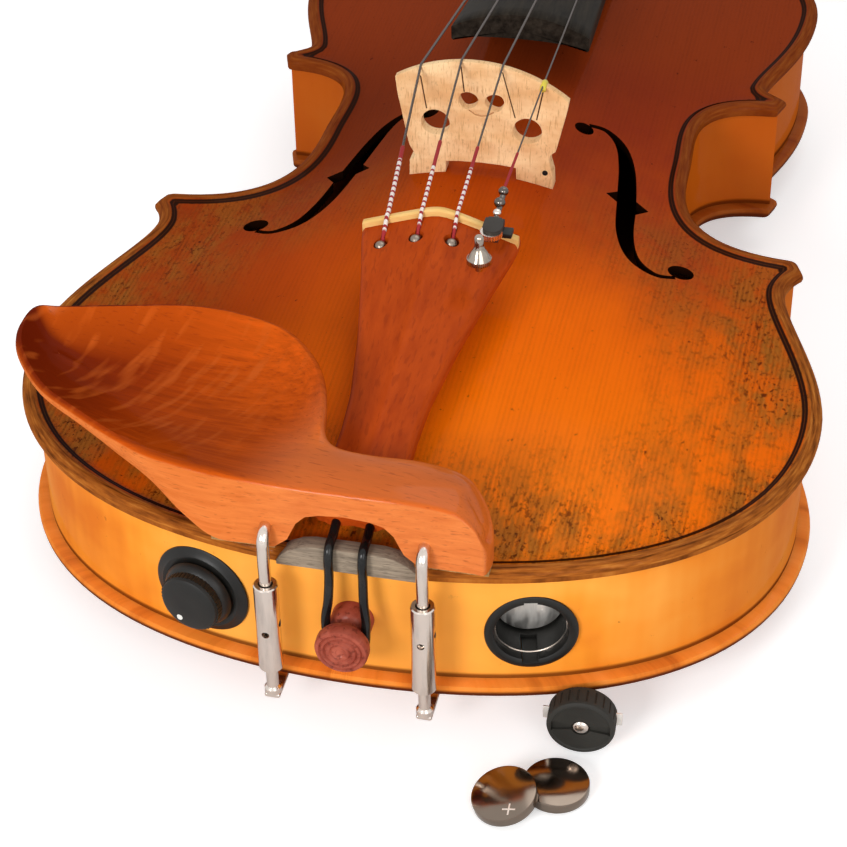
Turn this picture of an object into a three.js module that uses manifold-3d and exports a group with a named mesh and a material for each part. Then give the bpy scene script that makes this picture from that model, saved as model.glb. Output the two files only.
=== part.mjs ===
// Electric violin lying on its back, in millimetres.
// X points to the treble side, Y from the end button to the scroll, Z up from the table.
import * as THREE from 'three';
import { mergeVertices } from 'three/addons/utils/BufferGeometryUtils.js';
import Module from 'manifold-3d';

const wasm = await Module();
wasm.setup();

// Body outline, seen from above, measured from the bottom edge
const bodyLength = 355.5;
const lowerHalf = 104;
const lowerWideY = 76;
const waistHalf = 55.5;
const waistY = 192;
const upperHalf = 84;
const upperWideY = 293;
const lowerCornerShare = { across: 0.8846, along: 0.5991 };
const upperCornerShare = { across: 0.9333, along: 0.4109 };
const lowerCornerHalf = lowerCornerShare.across * lowerHalf;
const lowerCornerY = lowerWideY + lowerCornerShare.along * (waistY - lowerWideY);
const upperCornerHalf = upperCornerShare.across * upperHalf;
const upperCornerY = waistY + upperCornerShare.along * (upperWideY - waistY);

// Sound box
const ribHeight = 33;
const ribThickness = 1.2;
const overhang = 3.4;
const cornerRunOn = 5;
const edgeThickness = 4;
const edgeRound = 1.5;
const channelInset = 6.5;
const channelDepth = 1.2;
const glueLand = 9;
const topArch = 15.5;
const backArch = 15;
const restFlatDepth = 0.5;
const restY = 178;
const topThickness = 3;
const upperEyeX = 23.2;
const upperEyeY = 195;
const lowerEyeX = 60.6;
const lowerEyeY = 126.2;
const upperEyeRadius = 3.1;
const lowerEyeRadius = 4.2;
const stemHalf = 3.2;
const nickReach = 5.2;
const nickHalf = 0.9;
const backThickness = 3.8;
const archRim = 8;
const buttonHalf = 11;
const buttonReach = 14;

// Clearances and cutting
const seatGap = 0.3;
const faceGap = 0.05;
const overrun = 5;
const weldTolerance = 1e-4;

// Heights
const backGlueZ = backArch;
const backEdgeZ = backGlueZ - edgeThickness;
const topGlueZ = backGlueZ + ribHeight;
const topEdgeZ = topGlueZ + edgeThickness;
const ribMidZ = backGlueZ + ribHeight / 2;

// Inner woodwork
const endBlockHalf = 24;
const endBlockDepth = 15;
const neckBlockHalf = 26;
const neckBlockDepth = 18;
const cornerBlockReach = 24;
const bassBarX = -15;
const bassBarWidth = 5.5;
const bassBarLength = 266;
const bassBarDepth = 10;
const postX = 18;
const postY = 150;
const postRadius = 3.15;

// Bridge
const bridgeY = 159;
const bridgeFootHalf = 20.7;
const bridgeFootWidth = 10.5;
const bridgeTopHalf = 24.6;
const bridgeHeight = 34.5;
const bridgeApexX = -2;
const bridgeCrownRadius = 42;
const bridgeFootThickness = 4.4;
const bridgeCrownThickness = 1.7;
const bridgeEyeX = 13.1;
const bridgeEyeZ = 14.8;
const bridgeEyeHalf = 4.1;
const bridgeEyeRise = 3.5;
const heartX = 3.6;
const heartZ = 22.4;
const heartHalf = 2.2;

// Strings
const bridgeStringStep = 11.55;
const nutStringStep = 5.5;
const tailStringStep = 9.4;
const stringRadii = [0.45, 0.4, 0.38, 0.3];
const stringSides = 6;

// Fingerboard, neck and nut
const boardEndY = 215.5;
const boardLength = 270;
const boardEndHalf = 21;
const boardNutHalf = 12;
const boardRadius = 42;
const boardEdge = 5;
const boardEndZ = 72.7;
const boardNutZ = 44.85;
const boardScoop = 2.8;
const nutY = boardEndY + boardLength;
const nutLength = 5.5;
const nutRise = 0.7;
const neckDepth = 11.6;
const neckRootDepth = 6;
const neckSideInset = 0.2;
const mortiseHalf = 16.4;
const heelReach = 30;

// Pegbox and scroll
const pegboxLength = 71;
const pegboxFrontHalf = 12.2;
const pegboxThroatHalf = 7.2;
const pegboxWall = 4;
const slotStart = 9;
const slotEnd = 62.5;
const slotFloor = 4;
const scrollReach = 88;
const scrollY = nutY + scrollReach;
const scrollDrop = 13.35;
const scrollZ = boardNutZ - scrollDrop;
const scrollRadius = 21.5;
const scrollEyeRadius = 4.4;
const scrollStartHalf = 6.6;
const scrollEyeHalf = 20.5;
const scrollTurns = 2.5;
const pegStations = [15.5, 28.5, 43.5, 56.5];
const pegHeights = [34.6, 32, 29.6, 28];
const pegSides = [-1, 1, -1, 1];
const pegHeadRadius = 3.9;
const pegTailRadius = 3.2;
const pegTurnGap = 0.15;
const pegCollarRadius = 5.4;
const pegStemLength = 9;
const pegThumbLength = 13;
const pegThumbWidth = 21;
const pegThumbThickness = 6;
const pegThumbAngles = [10, 35, -20, 60].map(THREE.MathUtils.degToRad);
const pegEndReach = 2.7;

// Tailpiece and its gut, saddle and end button
const tailStartY = 6.8;
const tailEndY = 107;
const tailWideHalf = 21;
const tailLowZ = 62.6;
const tailHighZ = 83.9;
const tailLowDrop = 2.4;
const tailHighDrop = 7.5;
const tailThickness = 5.5;
const fretY = 104;
const fretWidth = 2.2;
const fretRise = 1.6;
const fretDepth = 1.5;
const stringHoleY = 96;
const stringHoleRadius = 1.5;
const saddleHalf = 17.6;
const saddleTopHalf = 8.5;
const saddleDepth = 6.2;
const saddleRise = 5.2;
const gutRadius = 1.15;
const gutSpread = 4.1;
const buttonPinRadius = 3.9;
const buttonNeckRadius = 3.3;
const buttonCollarRadius = 5.2;
const buttonHeadRadius = 6.6;
const buttonNeckY = -2;
const buttonHeadY = -5.4;
const buttonFaceY = -9.6;
const buttonFaceRadius = 4.2;
const buttonPinDepth = 12;

// Fine tuner on the E string
const tunerX = 14.4;
const tunerWidth = 5;
const tunerFrontY = 113;
const tunerScrewY = 84;
const tunerPlate = 1.1;
const tunerLift = 1.6;
const tunerScrewRadius = 1;
const tunerHeadRadius = 3.6;
const tunerRimHeight = 2.2;
const tunerHeadTopRadius = 2;
const tunerCollarRadius = 1.8;
const tunerHeadHeight = 3.6;
const tunerHeadZ = 88.5;
const tunerHookZ = 86;

// Chin rest and its two clamps
const chinLength = 134;
const chinDepth = 60;
const chinRise = 26;
const chinFootGap = 2.1;
const chinWall = 9;
const chinArchHalf = 17.5;
const chinArchRise = 12.3;
const chinFootDepth = 9.5;
const clampX = 19;
const clampY = -4.2;
const clampRodRadius = 1.5;
const barrelRadius = 2.7;
const barrelLowZ = 19;
const barrelHighZ = 45.5;
const barrelBore = 1.8;
const barrelHoleRadius = 1;
const hookZ = 62;
const hookReach = 7;
const footThickness = 2;
const footReach = 13;
const padThickness = 1.8;

// Volume control, battery socket and output jack, placed along the rib from the centre line
const knobDistance = 39.5;
const socketDistance = 43;
const controlZ = 30;
const bezelRadius = 12.8;
const bezelDepth = 2;
const knobRadius = 7.8;
const knobDepth = 7;
const knobSkirt = 1.2;
const bushRadius = 3.5;
const potRadius = 8.2;
const potDepth = 7.5;
const socketFlangeRadius = 11.4;
const socketFlange = 1.1;
const socketRadius = 10;
const socketBore = 8.9;
const socketDepth = 15;
const socketFloor = 1.6;
const socketSlotWidth = 3.4;
const contactRadius = 7;
const contactThickness = 0.5;
const contactLift = 1.2;
const jackDistance = 128;
const jackThreadRadius = 4.5;
const jackNutRadius = 7.4;
const jackNutDepth = 2.2;
const jackLength = 24;
const jackBodyRadius = 6.2;
const jackBore = 3.3;

// Preamplifier board and inner leads
const boardPlateHalf = 20;
const boardPlateHeight = 22;
const boardPlateThickness = 1.6;
const leadRadius = 1;

// Battery cap and coin cells beside the violin
const capRadius = 8.4;
const capDepth = 6.2;
const capPlaceShare = 0.5423;
const capX = capPlaceShare * lowerHalf;
const capY = 0.2;
const capTurn = THREE.MathUtils.degToRad(3);
const capSlotWidth = 2;
const capSlotHalf = 6.7;
const capSlotDepth = 1.6;
const capBarLength = 19.4;
const capBarWidth = 4.4;
const capBarThickness = 0.6;
const capBarClearance = 0.24;
const capRivetRadius = 1.9;
const capRivetFaceRadius = 1.3;
const cellRadius = 8;
const cellThickness = 3.2;
const cellEdge = 0.5;
const flatCellAside = 3.4;
const flatCellX = capX - flatCellAside;
const flatCellY = -13;
const leaningCellAside = 14.1;
const leaningCellX = capX - leaningCellAside;
const leaningCellY = -20.3;
const leaningCellTilt = THREE.MathUtils.degToRad(15.5);
const leaningCellTurn = THREE.MathUtils.degToRad(34);
const leaningCellLift = 1.92;

// Finishes
const finish = (color, roughness, metalness = 0) =>
  new THREE.MeshStandardMaterial({ color, roughness, metalness });
const varnish = finish(0xc8641c, 0.35);
const backVarnish = finish(0xb8561a, 0.35);
const ribVarnish = finish(0xe07e1e, 0.35);
const spruce = finish(0xd9b98a, 0.75);
const ebony = finish(0x26231f, 0.45);
const maple = finish(0xecc590, 0.6);
const tailWood = finish(0x9c4a22, 0.4);
const boxwood = finish(0xe0b060, 0.5);
const chinWood = finish(0xb55a28, 0.35);
const pegWood = finish(0x8a3f20, 0.4);
const cork = finish(0xb08a58, 0.9);
const blackPlastic = finish(0x1c1c1c, 0.5);
const nickel = finish(0xcfc6bd, 0.25, 1);
const steel = finish(0xb8b8ba, 0.3, 1);
const circuit = finish(0x2a5a38, 0.6);
const gutPlastic = finish(0x0c0c0c, 0.2);

// Shared shape helpers

const at = (width, height, shares) =>
  shares.map(([x, y]) => new THREE.Vector2(x * width, y * height));

const mix = (a, b, t) => a + (b - a) * t;

const evenShares = (count) => Array.from({ length: count }, (_, i) => (i + 1) / count);

function bezierRun(points, stops) {
  const run = [points[0]];
  stops.forEach((shares, i) => {
    const curve = new THREE.CubicBezierCurve(...points.slice(3 * i, 3 * i + 4));
    run.push(...shares.map((share) => curve.getPoint(share)));
  });
  return run;
}

// A closed surface from loose corners and faces: welded, without slivers, facing out
function closedSurface(corners, faces) {
  const loose = new THREE.BufferGeometry().setFromPoints(corners);
  loose.setIndex(faces.flat());
  const welded = mergeVertices(loose, weldTolerance);
  const index = welded.index.array;
  const kept = [];
  for (let i = 0; i < index.length; i += 3) {
    const [a, b, c] = [index[i], index[i + 1], index[i + 2]];
    if (a !== b && b !== c && c !== a) kept.push(a, b, c);
  }
  const corner = (i) => new THREE.Vector3().fromBufferAttribute(welded.attributes.position, i);
  let volume = 0;
  for (let i = 0; i < kept.length; i += 3) {
    volume += corner(kept[i]).dot(corner(kept[i + 1]).cross(corner(kept[i + 2])));
  }
  if (volume < 0) kept.reverse();
  welded.setIndex(kept);
  welded.computeVertexNormals();
  return welded;
}

// Rings of equal count joined in order; the two ends are capped unless they are closed seams
function loft(rings, capped = true) {
  const count = rings[0].length;
  const corners = rings.flat();
  const faces = [];
  for (let k = 0; k + 1 < rings.length; k += 1) {
    for (let i = 0; i < count; i += 1) {
      const j = (i + 1) % count;
      const [a, b] = [k * count + i, k * count + j];
      faces.push([a, b, b + count], [a, b + count, a + count]);
    }
  }
  if (capped) {
    for (const [ring, base] of [[rings[0], 0], [rings.at(-1), (rings.length - 1) * count]]) {
      const middle = ring.reduce((sum, p) => sum.add(p), new THREE.Vector3()).divideScalar(count);
      const hub = corners.push(middle) - 1;
      for (let i = 0; i < count; i += 1) {
        const [a, b] = [base + i, base + ((i + 1) % count)];
        faces.push(base === 0 ? [hub, b, a] : [hub, a, b]);
      }
    }
  }
  return closedSurface(corners, faces);
}

function solid(geometry) {
  const bare = geometry.clone();
  bare.deleteAttribute('normal');
  bare.deleteAttribute('uv');
  const merged = mergeVertices(bare, weldTolerance);
  return new wasm.Manifold(new wasm.Mesh({
    numProp: 3,
    vertProperties: new Float32Array(merged.attributes.position.array),
    triVerts: new Uint32Array(merged.index.array),
  }));
}

function surfaceOf(manifold) {
  const mesh = manifold.getMesh();
  const geometry = new THREE.BufferGeometry();
  geometry.setAttribute('position', new THREE.BufferAttribute(mesh.vertProperties, 3));
  geometry.setIndex(new THREE.BufferAttribute(mesh.triVerts, 1));
  geometry.computeVertexNormals();
  return geometry;
}

const cut = (geometry, ...tools) =>
  surfaceOf(tools.reduce((body, tool) => body.subtract(solid(tool)), solid(geometry)));
const join = (geometry, ...others) =>
  surfaceOf(others.reduce((body, other) => body.add(solid(other)), solid(geometry)));

function block(x0, x1, y0, y1, z0, z1) {
  const box = new THREE.BoxGeometry(x1 - x0, y1 - y0, z1 - z0);
  return box.translate((x0 + x1) / 2, (y0 + y1) / 2, (z0 + z1) / 2);
}

const extruded = (outline, depth) =>
  new THREE.ExtrudeGeometry(new THREE.Shape(outline), { depth, bevelEnabled: false });
const prismUp = (outline, z0, z1) => extruded(outline, z1 - z0).translate(0, 0, z0);
const prismAlongY = (outline, y0, y1) =>
  extruded(outline, y1 - y0).rotateX(Math.PI / 2).translate(0, y1, 0);
const prismAlongX = (outline, x0, x1) =>
  extruded(outline, x1 - x0).rotateX(Math.PI / 2).rotateZ(Math.PI / 2).translate(x0, 0, 0);

// A turned piece: its axis is local Y, profile points are [radius, height]
const turned = (profile, sides) =>
  new THREE.LatheGeometry(profile.map(([r, h]) => new THREE.Vector2(r, h)), sides);

// A plain round rod or tool between two heights of local Z
const rodUp = (radius, x, y, z0, z1, sides) =>
  new THREE.CylinderGeometry(radius, radius, z1 - z0, sides)
    .rotateX(Math.PI / 2).translate(x, y, (z0 + z1) / 2);
const rodAlongY = (radius, x, z, y0, y1, sides) =>
  new THREE.CylinderGeometry(radius, radius, y1 - y0, sides).translate(x, (y0 + y1) / 2, z);

function polygon(radius, sides) {
  const outline = [];
  for (let i = 0; i < sides; i += 1) {
    const angle = (2 * Math.PI * i) / sides;
    outline.push(new THREE.Vector2(radius * Math.cos(angle), radius * Math.sin(angle)));
  }
  return outline;
}

function tube(points, radius, sides, steps) {
  const path = new THREE.CatmullRomCurve3(points, false, 'centripetal');
  const shape = new THREE.Shape(polygon(radius, sides));
  return new THREE.ExtrudeGeometry(shape, { steps, extrudePath: path, bevelEnabled: false });
}

function pathTube(points, radius, sides) {
  const path = new THREE.CurvePath();
  for (let i = 0; i + 1 < points.length; i += 1) {
    path.add(new THREE.LineCurve3(points[i], points[i + 1]));
  }
  const directions = points.map((p, i) => {
    const before = points[Math.max(i - 1, 0)];
    const after = points[Math.min(i + 1, points.length - 1)];
    return after.clone().sub(before).normalize();
  });
  const rings = points.map((p, i) => {
    const side = new THREE.Vector3(1, 0, 0).addScaledVector(directions[i], -directions[i].x).normalize();
    const up = side.clone().cross(directions[i]);
    return polygon(radius, sides).map((q) => p.clone().addScaledVector(side, q.x).addScaledVector(up, q.y));
  });
  return loft(rings);
}

const mirrored = (points) => points.map((p) => new THREE.Vector2(-p.x, p.y)).reverse();

const violin = new THREE.Group();
violin.position.y = -restY;

function part(name, geometry, material, parent = violin) {
  const mesh = new THREE.Mesh(geometry, material);
  mesh.name = name;
  parent.add(mesh);
  return mesh;
}

// Body outline: three curves a side, in shares of the widths and heights that they follow
const lowerWideShares = [[0, 0], [0.65, 0], [1, 0.41], [1, 1], [1, 1.3]];
const lowerCornerShares = [[0.958, 0.845], [0.971, 0.921], [0.98, 0.949], [0.997, 0.969], [1.013, 0.98]];
const waistStartShares = [[0.987, 1.02], [0.62, 1.03]];
const waistShares = [[1, 0.906], [1, 1], [1, 1.094]];
const waistEndShares = [[0.63, 0.985], [0.987, 0.987]];
const upperCornerShares = [[1.013, 1.013], [0.975, 1.021], [0.918, 1.028], [0.931, 1.041], [0.957, 1.088]];
const upperWideShares = [[1, 0.9126], [1, 1], [1, 1.104]];
const upperEndShares = [[0.524, 1], [0, 1]];

// One long facet near the end is the flat seat of the controls
const lowerStopShares = [0.071, 0.142, 0.305, 0.41, 0.52, 0.63, 0.75, 0.87, 1];
const lowerBout = bezierRun([
  ...at(lowerHalf, lowerWideY, lowerWideShares),
  ...at(lowerCornerHalf, lowerCornerY, lowerCornerShares),
], [lowerStopShares, evenShares(5), evenShares(2)]);
const waistBout = bezierRun([
  ...at(lowerCornerHalf, lowerCornerY, waistStartShares),
  ...at(waistHalf, waistY, waistShares),
  ...at(upperCornerHalf, upperCornerY, waistEndShares),
], [evenShares(6), evenShares(6)]);
const upperBout = bezierRun([
  ...at(upperCornerHalf, upperCornerY, upperCornerShares),
  ...at(upperHalf, upperWideY, upperWideShares),
  ...at(upperHalf, bodyLength, upperEndShares),
], [evenShares(2), evenShares(5), evenShares(9)]);

// Each edge point is tied to a point of the centre line, so that the arching has even rings
const spineShares = { lower: [0.169, 0.315], waist: [0.332, 0.737], upper: [0.754, 0.85] };

function withSpine(points, [from, to]) {
  return points.map((p, i) => ({
    x: p.x,
    y: p.y,
    spine: mix(from, to, i / (points.length - 1)) * bodyLength,
  }));
}

const halfEdge = [
  ...withSpine(lowerBout, spineShares.lower),
  ...withSpine(waistBout, spineShares.waist),
  ...withSpine(upperBout, spineShares.upper),
];

// The back runs on past the body as the button that the heel of the neck stands on
const buttonShares = [[1, 0], [1, 0.55], [0.7, 0.88], [0, 1]];
const halfBackEdge = [
  ...halfEdge.filter((p) => p.y < bodyLength / 2 || p.x > buttonHalf + edgeThickness),
  ...buttonShares.map(([x, y]) => ({
    x: x * buttonHalf,
    y: bodyLength + y * buttonReach,
    spine: spineShares.upper[1] * bodyLength,
  })),
];
halfBackEdge.at(-4).y -= edgeRound / 3;

function fullEdge(half) {
  const other = half.slice(1, -1).reverse().map((p) => ({ ...p, x: -p.x }));
  return [...half, ...other];
}

// Arching: full in the middle, hollowed into a channel beside the edge
const archPower = 2.4;
const lengthPower = 2.6;
const crossPower = 0.7;

function archHalfWidth(y) {
  const lobe = (half, reach) => half * Math.max(0, 1 - reach ** archPower) ** (1 / archPower);
  const ease = (a, b, t) => mix(a, b, 0.5 - 0.5 * Math.cos(Math.PI * t));
  const [lower, waist, upper] = [lowerHalf - archRim, waistHalf - archRim, upperHalf - archRim];
  if (y < lowerWideY) return lobe(lower, (lowerWideY - y) / (lowerWideY - archRim));
  if (y < waistY) return ease(lower, waist, (y - lowerWideY) / (waistY - lowerWideY));
  if (y < upperWideY) return ease(waist, upper, (y - waistY) / (upperWideY - waistY));
  return lobe(upper, (y - upperWideY) / (bodyLength - archRim - upperWideY));
}

function archShare(x, y) {
  const along = Math.min(1, Math.max(0, (y - archRim) / (bodyLength - 2 * archRim)));
  const across = Math.min(1, Math.abs(x) / Math.max(archHalfWidth(y), faceGap));
  const cross = Math.max(0, 0.5 + 0.5 * Math.cos(Math.PI * across)) ** crossPower;
  return (1 - Math.abs(2 * along - 1) ** lengthPower) * cross;
}

const channelHeight = edgeThickness - channelDepth;
const topSurfaceZ = (x, y) => topGlueZ + channelHeight + (topArch - channelHeight) * archShare(x, y);
const topInnerZ = (x, y) => Math.max(topGlueZ, topSurfaceZ(x, y) - topThickness);
const backFullArch = backArch + restFlatDepth - channelHeight;
const backSurfaceZ = (x, y) =>
  Math.max(0, backGlueZ - channelHeight - backFullArch * archShare(x, y));
const backInnerZ = (x, y) => Math.min(backGlueZ, backSurfaceZ(x, y) + backThickness);

// Rings run from the centre line of the inner face, out over the edge, to that of the outer face
const ringShares = [0.2, 0.45, 0.72, 0.9];

function plate(half, glueZ, direction, outerZ, innerZ) {
  const edge = fullEdge(half);
  const inset = (p, distance) => {
    const away = Math.hypot(p.x, p.y - p.spine);
    return [p.x * (1 - distance / away), mix(p.y, p.spine, distance / away)];
  };
  const ring = (distance, height) => edge.map((p) => {
    const [x, y] = inset(p, distance);
    return new THREE.Vector3(x, y, glueZ + direction * height);
  });
  const archRing = (start, share, height) => edge.map((p) => {
    const [x0, y0] = inset(p, start);
    const [x, y] = [x0 * (1 - share), mix(y0, p.spine, share)];
    return new THREE.Vector3(x, y, height(x, y));
  });
  return loft([
    ...[1, ...ringShares.toReversed()].map((share) => archRing(glueLand, share, innerZ)),
    ring(glueLand, 0),
    ring(0, 0),
    ring(0, edgeThickness - edgeRound),
    ring(edgeRound, edgeThickness),
    ring(channelInset, channelHeight),
    ...[...ringShares, 1].map((share) => archRing(channelInset, share, outerZ)),
  ], false);
}

// Sound holes: a curved stem between two round eyes, placed by the upper eye and the lower eye
const upperEye = new THREE.Vector2(upperEyeX, upperEyeY);
const lowerEye = new THREE.Vector2(lowerEyeX, lowerEyeY);
const stemShares = [
  { x: 0.03, y: 1.045, half: 0.25 },
  { x: 0.17, y: 1.06, half: 0.31 },
  { x: 0.33, y: 0.98, half: 0.6 },
  { x: 0.42, y: 0.8, half: 0.875 },
  { x: 0.47, y: 0.5, half: 1 },
  { x: 0.53, y: 0.2, half: 0.875 },
  { x: 0.64, y: 0, half: 0.6 },
  { x: 0.82, y: -0.085, half: 0.31 },
  { x: 0.97, y: -0.06, half: 0.25 },
];
const stemMiddle = (stemShares.length - 1) / 2;

function soundHoles() {
  const spot = (share) => new THREE.Vector2(
    mix(upperEye.x, lowerEye.x, share.x),
    mix(lowerEye.y, upperEye.y, share.y),
  );
  const middle = new THREE.SplineCurve(stemShares.map(spot));
  const steps = 2 * (stemShares.length - 1);
  const sides = [[], []];
  for (let i = 0; i <= steps; i += 1) {
    const t = i / steps;
    const point = middle.getPoint(t);
    const tangent = middle.getTangent(t);
    const low = stemShares[Math.floor(i / 2)].half;
    const high = stemShares[Math.ceil(i / 2)].half;
    const half = stemHalf * (low + high) / 2;
    sides[0].push(new THREE.Vector2(point.x - tangent.y * half, point.y + tangent.x * half));
    sides[1].push(new THREE.Vector2(point.x + tangent.y * half, point.y - tangent.x * half));
  }
  const stem = [...sides[0], ...sides[1].reverse()];
  const nickY = (upperEye.y + lowerEye.y) / 2;
  const nickX = mix(upperEye.x, lowerEye.x, stemShares[stemMiddle].x);
  const [lowZ, highZ] = [topGlueZ, topGlueZ + topArch + overrun];
  const nick = [[-nickReach, 0], [0, nickHalf], [nickReach, 0], [0, -nickHalf]]
    .map(([x, y]) => new THREE.Vector2(nickX + x, nickY + y)).reverse();
  const eye = (centre, radius) => rodUp(radius, centre.x, centre.y, lowZ, highZ, 14);
  const hole = join(prismUp(stem, lowZ, highZ), prismUp(nick, lowZ, highZ),
    eye(upperEye, upperEyeRadius), eye(lowerEye, lowerEyeRadius));
  return [hole, surfaceOf(solid(hole).mirror([1, 0, 0]))];
}

function topPlate() {
  const saddleNotch = block(-saddleHalf - seatGap, saddleHalf + seatGap, -overrun, saddleDepth + seatGap,
    topGlueZ - overrun, topEdgeZ + overrun);
  const neckNotch = block(-mortiseHalf, mortiseHalf, bodyLength - neckRootDepth, bodyLength + overrun,
    topGlueZ - overrun, topEdgeZ + overrun);
  return cut(plate(halfEdge, topGlueZ, 1, topSurfaceZ, topInnerZ), ...soundHoles(), saddleNotch, neckNotch);
}

part('top_plate', topPlate(), varnish);
part('back_plate', plate(halfBackEdge, backGlueZ, -1, backSurfaceZ, backInnerZ), backVarnish);

// Ribs: each bout is offset inwards, and neighbours meet in a mitre at the corner
function offsetRun(points, distance) {
  const run = points.map((p, i) => {
    const before = points[Math.max(i - 1, 0)];
    const after = points[Math.min(i + 1, points.length - 1)];
    const along = after.clone().sub(before).normalize();
    const onCentre = p.x < faceGap;
    const inward = new THREE.Vector2(onCentre ? 0 : -along.y, onCentre ? Math.sign(along.x) : along.x);
    return p.clone().addScaledVector(inward, distance);
  });
  const beyond = (end, next) => end.clone().add(end.clone().sub(next).setLength(cornerRunOn));
  if (points[0].x > faceGap) run.unshift(beyond(run[0], run[1]));
  if (points.at(-1).x > faceGap) run.push(beyond(run.at(-1), run.at(-2)));
  return run;
}

function crossing(a, b) {
  for (let i = a.length - 2; i >= 0; i -= 1) {
    for (let j = 0; j + 1 < b.length; j += 1) {
      const r = a[i + 1].clone().sub(a[i]);
      const s = b[j + 1].clone().sub(b[j]);
      const gap = b[j].clone().sub(a[i]);
      const d = r.cross(s);
      const t = gap.cross(s) / d;
      const u = gap.cross(r) / d;
      if (t >= 0 && t <= 1 && u >= 0 && u <= 1) {
        return { i, j, point: a[i].clone().addScaledVector(r, t) };
      }
    }
  }
  throw new Error('the ribs do not meet at a corner');
}

// The three runs of one side at an inward distance, trimmed to where they meet
const neckRibShare = 0.6;

function ribRuns(distance) {
  const [lower, waist, upper] = [lowerBout, waistBout, upperBout].map((run) => offsetRun(run, distance));
  const low = crossing(lower, waist);
  const high = crossing(waist, upper);
  const neckSide = upper.filter((p) => p.y < bodyLength / 2 || p.x > mortiseHalf + seatGap);
  const endY = mix(neckSide.at(-1).y, upper.at(-1).y, neckRibShare);
  return {
    lower: [...lower.slice(0, low.i + 1), low.point],
    waist: [low.point, ...waist.slice(low.j + 1, high.i + 1), high.point],
    upper: [high.point, ...neckSide.slice(high.j + 1), new THREE.Vector2(mortiseHalf + seatGap, endY)],
  };
}

const ribOuter = ribRuns(overhang);
const ribInner = ribRuns(overhang + ribThickness);
const blockFace = ribRuns(overhang + ribThickness + seatGap);

// A seat on the outside of the lower rib, at a distance along it from the centre line
function ribSeat(distance, side) {
  let left = distance;
  const run = ribOuter.lower;
  for (let i = 0; i + 1 < run.length; i += 1) {
    const step = run[i + 1].clone().sub(run[i]);
    if (left <= step.length()) {
      const point = run[i].clone().add(step.clone().setLength(left));
      return { x: side * point.x, y: point.y, turn: side * step.angle() };
    }
    left -= step.length();
  }
  return null;
}

const onRib = (geometry, seat, z) => geometry.rotateZ(seat.turn).translate(seat.x, seat.y, z);

const knobSeat = ribSeat(knobDistance, -1);
const socketSeat = ribSeat(socketDistance, 1);
const jackSeat = ribSeat(jackDistance, -1);

function ribTools(side) {
  const tools = [
    rodAlongY(buttonPinRadius + seatGap, 0, ribMidZ, -overrun, endBlockDepth, 16),
  ];
  if (side > 0) {
    tools.push(onRib(rodAlongY(socketRadius + seatGap, 0, 0, -overrun, overrun, 28), socketSeat, controlZ));
  } else {
    tools.push(onRib(rodAlongY(bushRadius + seatGap, 0, 0, -overrun, overrun, 16), knobSeat, controlZ));
    tools.push(onRib(rodAlongY(jackThreadRadius + 2 * seatGap, 0, 0, -overrun, overrun, 16),
      jackSeat, ribMidZ));
  }
  return tools;
}

for (const [sideName, side] of [['bass', -1], ['treble', 1]]) {
  for (const bout of ['lower', 'waist', 'upper']) {
    let outline = [...ribOuter[bout], ...ribInner[bout].toReversed()];
    if (side < 0) outline = mirrored(outline);
    let rib = prismUp(outline, backGlueZ, topGlueZ);
    if (bout === 'lower') rib = cut(rib, ...ribTools(side));
    part(`${bout}_rib_${sideName}`, rib, ribVarnish);
  }
}

// Blocks inside the ribs
function blockOutline(run, half) {
  const near = run.filter((p) => p.x < half);
  const next = run[run.indexOf(near[near.length - 1]) + 1];
  const last = near[near.length - 1];
  const t = (half - last.x) / (next.x - last.x);
  return [...near, last.clone().lerp(next, t)];
}

function endBlock() {
  const face = blockOutline(blockFace.lower, endBlockHalf);
  const depth = blockFace.lower[0].y + endBlockDepth;
  const right = [...face, new THREE.Vector2(endBlockHalf, depth)];
  const outline = [...right, ...mirrored(right.slice(1))];
  const pin = rodAlongY(buttonPinRadius + seatGap, 0, ribMidZ, -overrun, depth + overrun, 16);
  return cut(prismUp(outline, backGlueZ, topGlueZ), pin);
}

function neckBlock() {
  const run = blockFace.upper.toReversed();
  const face = blockOutline(run, neckBlockHalf);
  const mortiseY = bodyLength - neckRootDepth - seatGap;
  const depth = mortiseY - neckBlockDepth;
  const right = [
    new THREE.Vector2(neckBlockHalf, depth),
    ...face.toReversed(),
    new THREE.Vector2(mortiseHalf + seatGap, mortiseY),
  ];
  return prismUp([...right, ...mirrored(right)], backGlueZ, topGlueZ);
}

function cornerBlock(first, second, side) {
  const corner = first.at(-1);
  const near = (p) => p.distanceTo(corner) < cornerBlockReach;
  const outline = [...first.filter(near), ...second.slice(1).filter(near)];
  return prismUp(side > 0 ? outline : mirrored(outline), backGlueZ, topGlueZ);
}

part('end_block', endBlock(), spruce);
part('neck_block', neckBlock(), spruce);
for (const [sideName, side] of [['bass', -1], ['treble', 1]]) {
  part(`lower_corner_block_${sideName}`, cornerBlock(blockFace.lower, blockFace.waist, side), spruce);
  part(`upper_corner_block_${sideName}`, cornerBlock(blockFace.waist, blockFace.upper, side), spruce);
}

// Bass bar and sound post between the plates
function bassBar() {
  const from = (bodyLength - bassBarLength) / 2;
  const upper = [];
  const lower = [];
  const steps = 14;
  for (let i = 0; i <= steps; i += 1) {
    const y = from + (bassBarLength * i) / steps;
    const roof = topInnerZ(bassBarX - bassBarWidth / 2, y) - 2 * seatGap;
    const depth = mix(footThickness, bassBarDepth, Math.sin((Math.PI * i) / steps));
    upper.push(new THREE.Vector2(y, roof));
    lower.push(new THREE.Vector2(y, roof - depth));
  }
  const outline = [...lower, ...upper.reverse()];
  return prismAlongX(outline, bassBarX - bassBarWidth / 2, bassBarX + bassBarWidth / 2);
}

part('bass_bar', bassBar(), spruce);
part('sound_post', rodUp(postRadius, postX, postY,
  backInnerZ(postX + postRadius, postY) + 2 * seatGap,
  topInnerZ(postX + postRadius, postY) - 2 * seatGap, 12), spruce);

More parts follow.
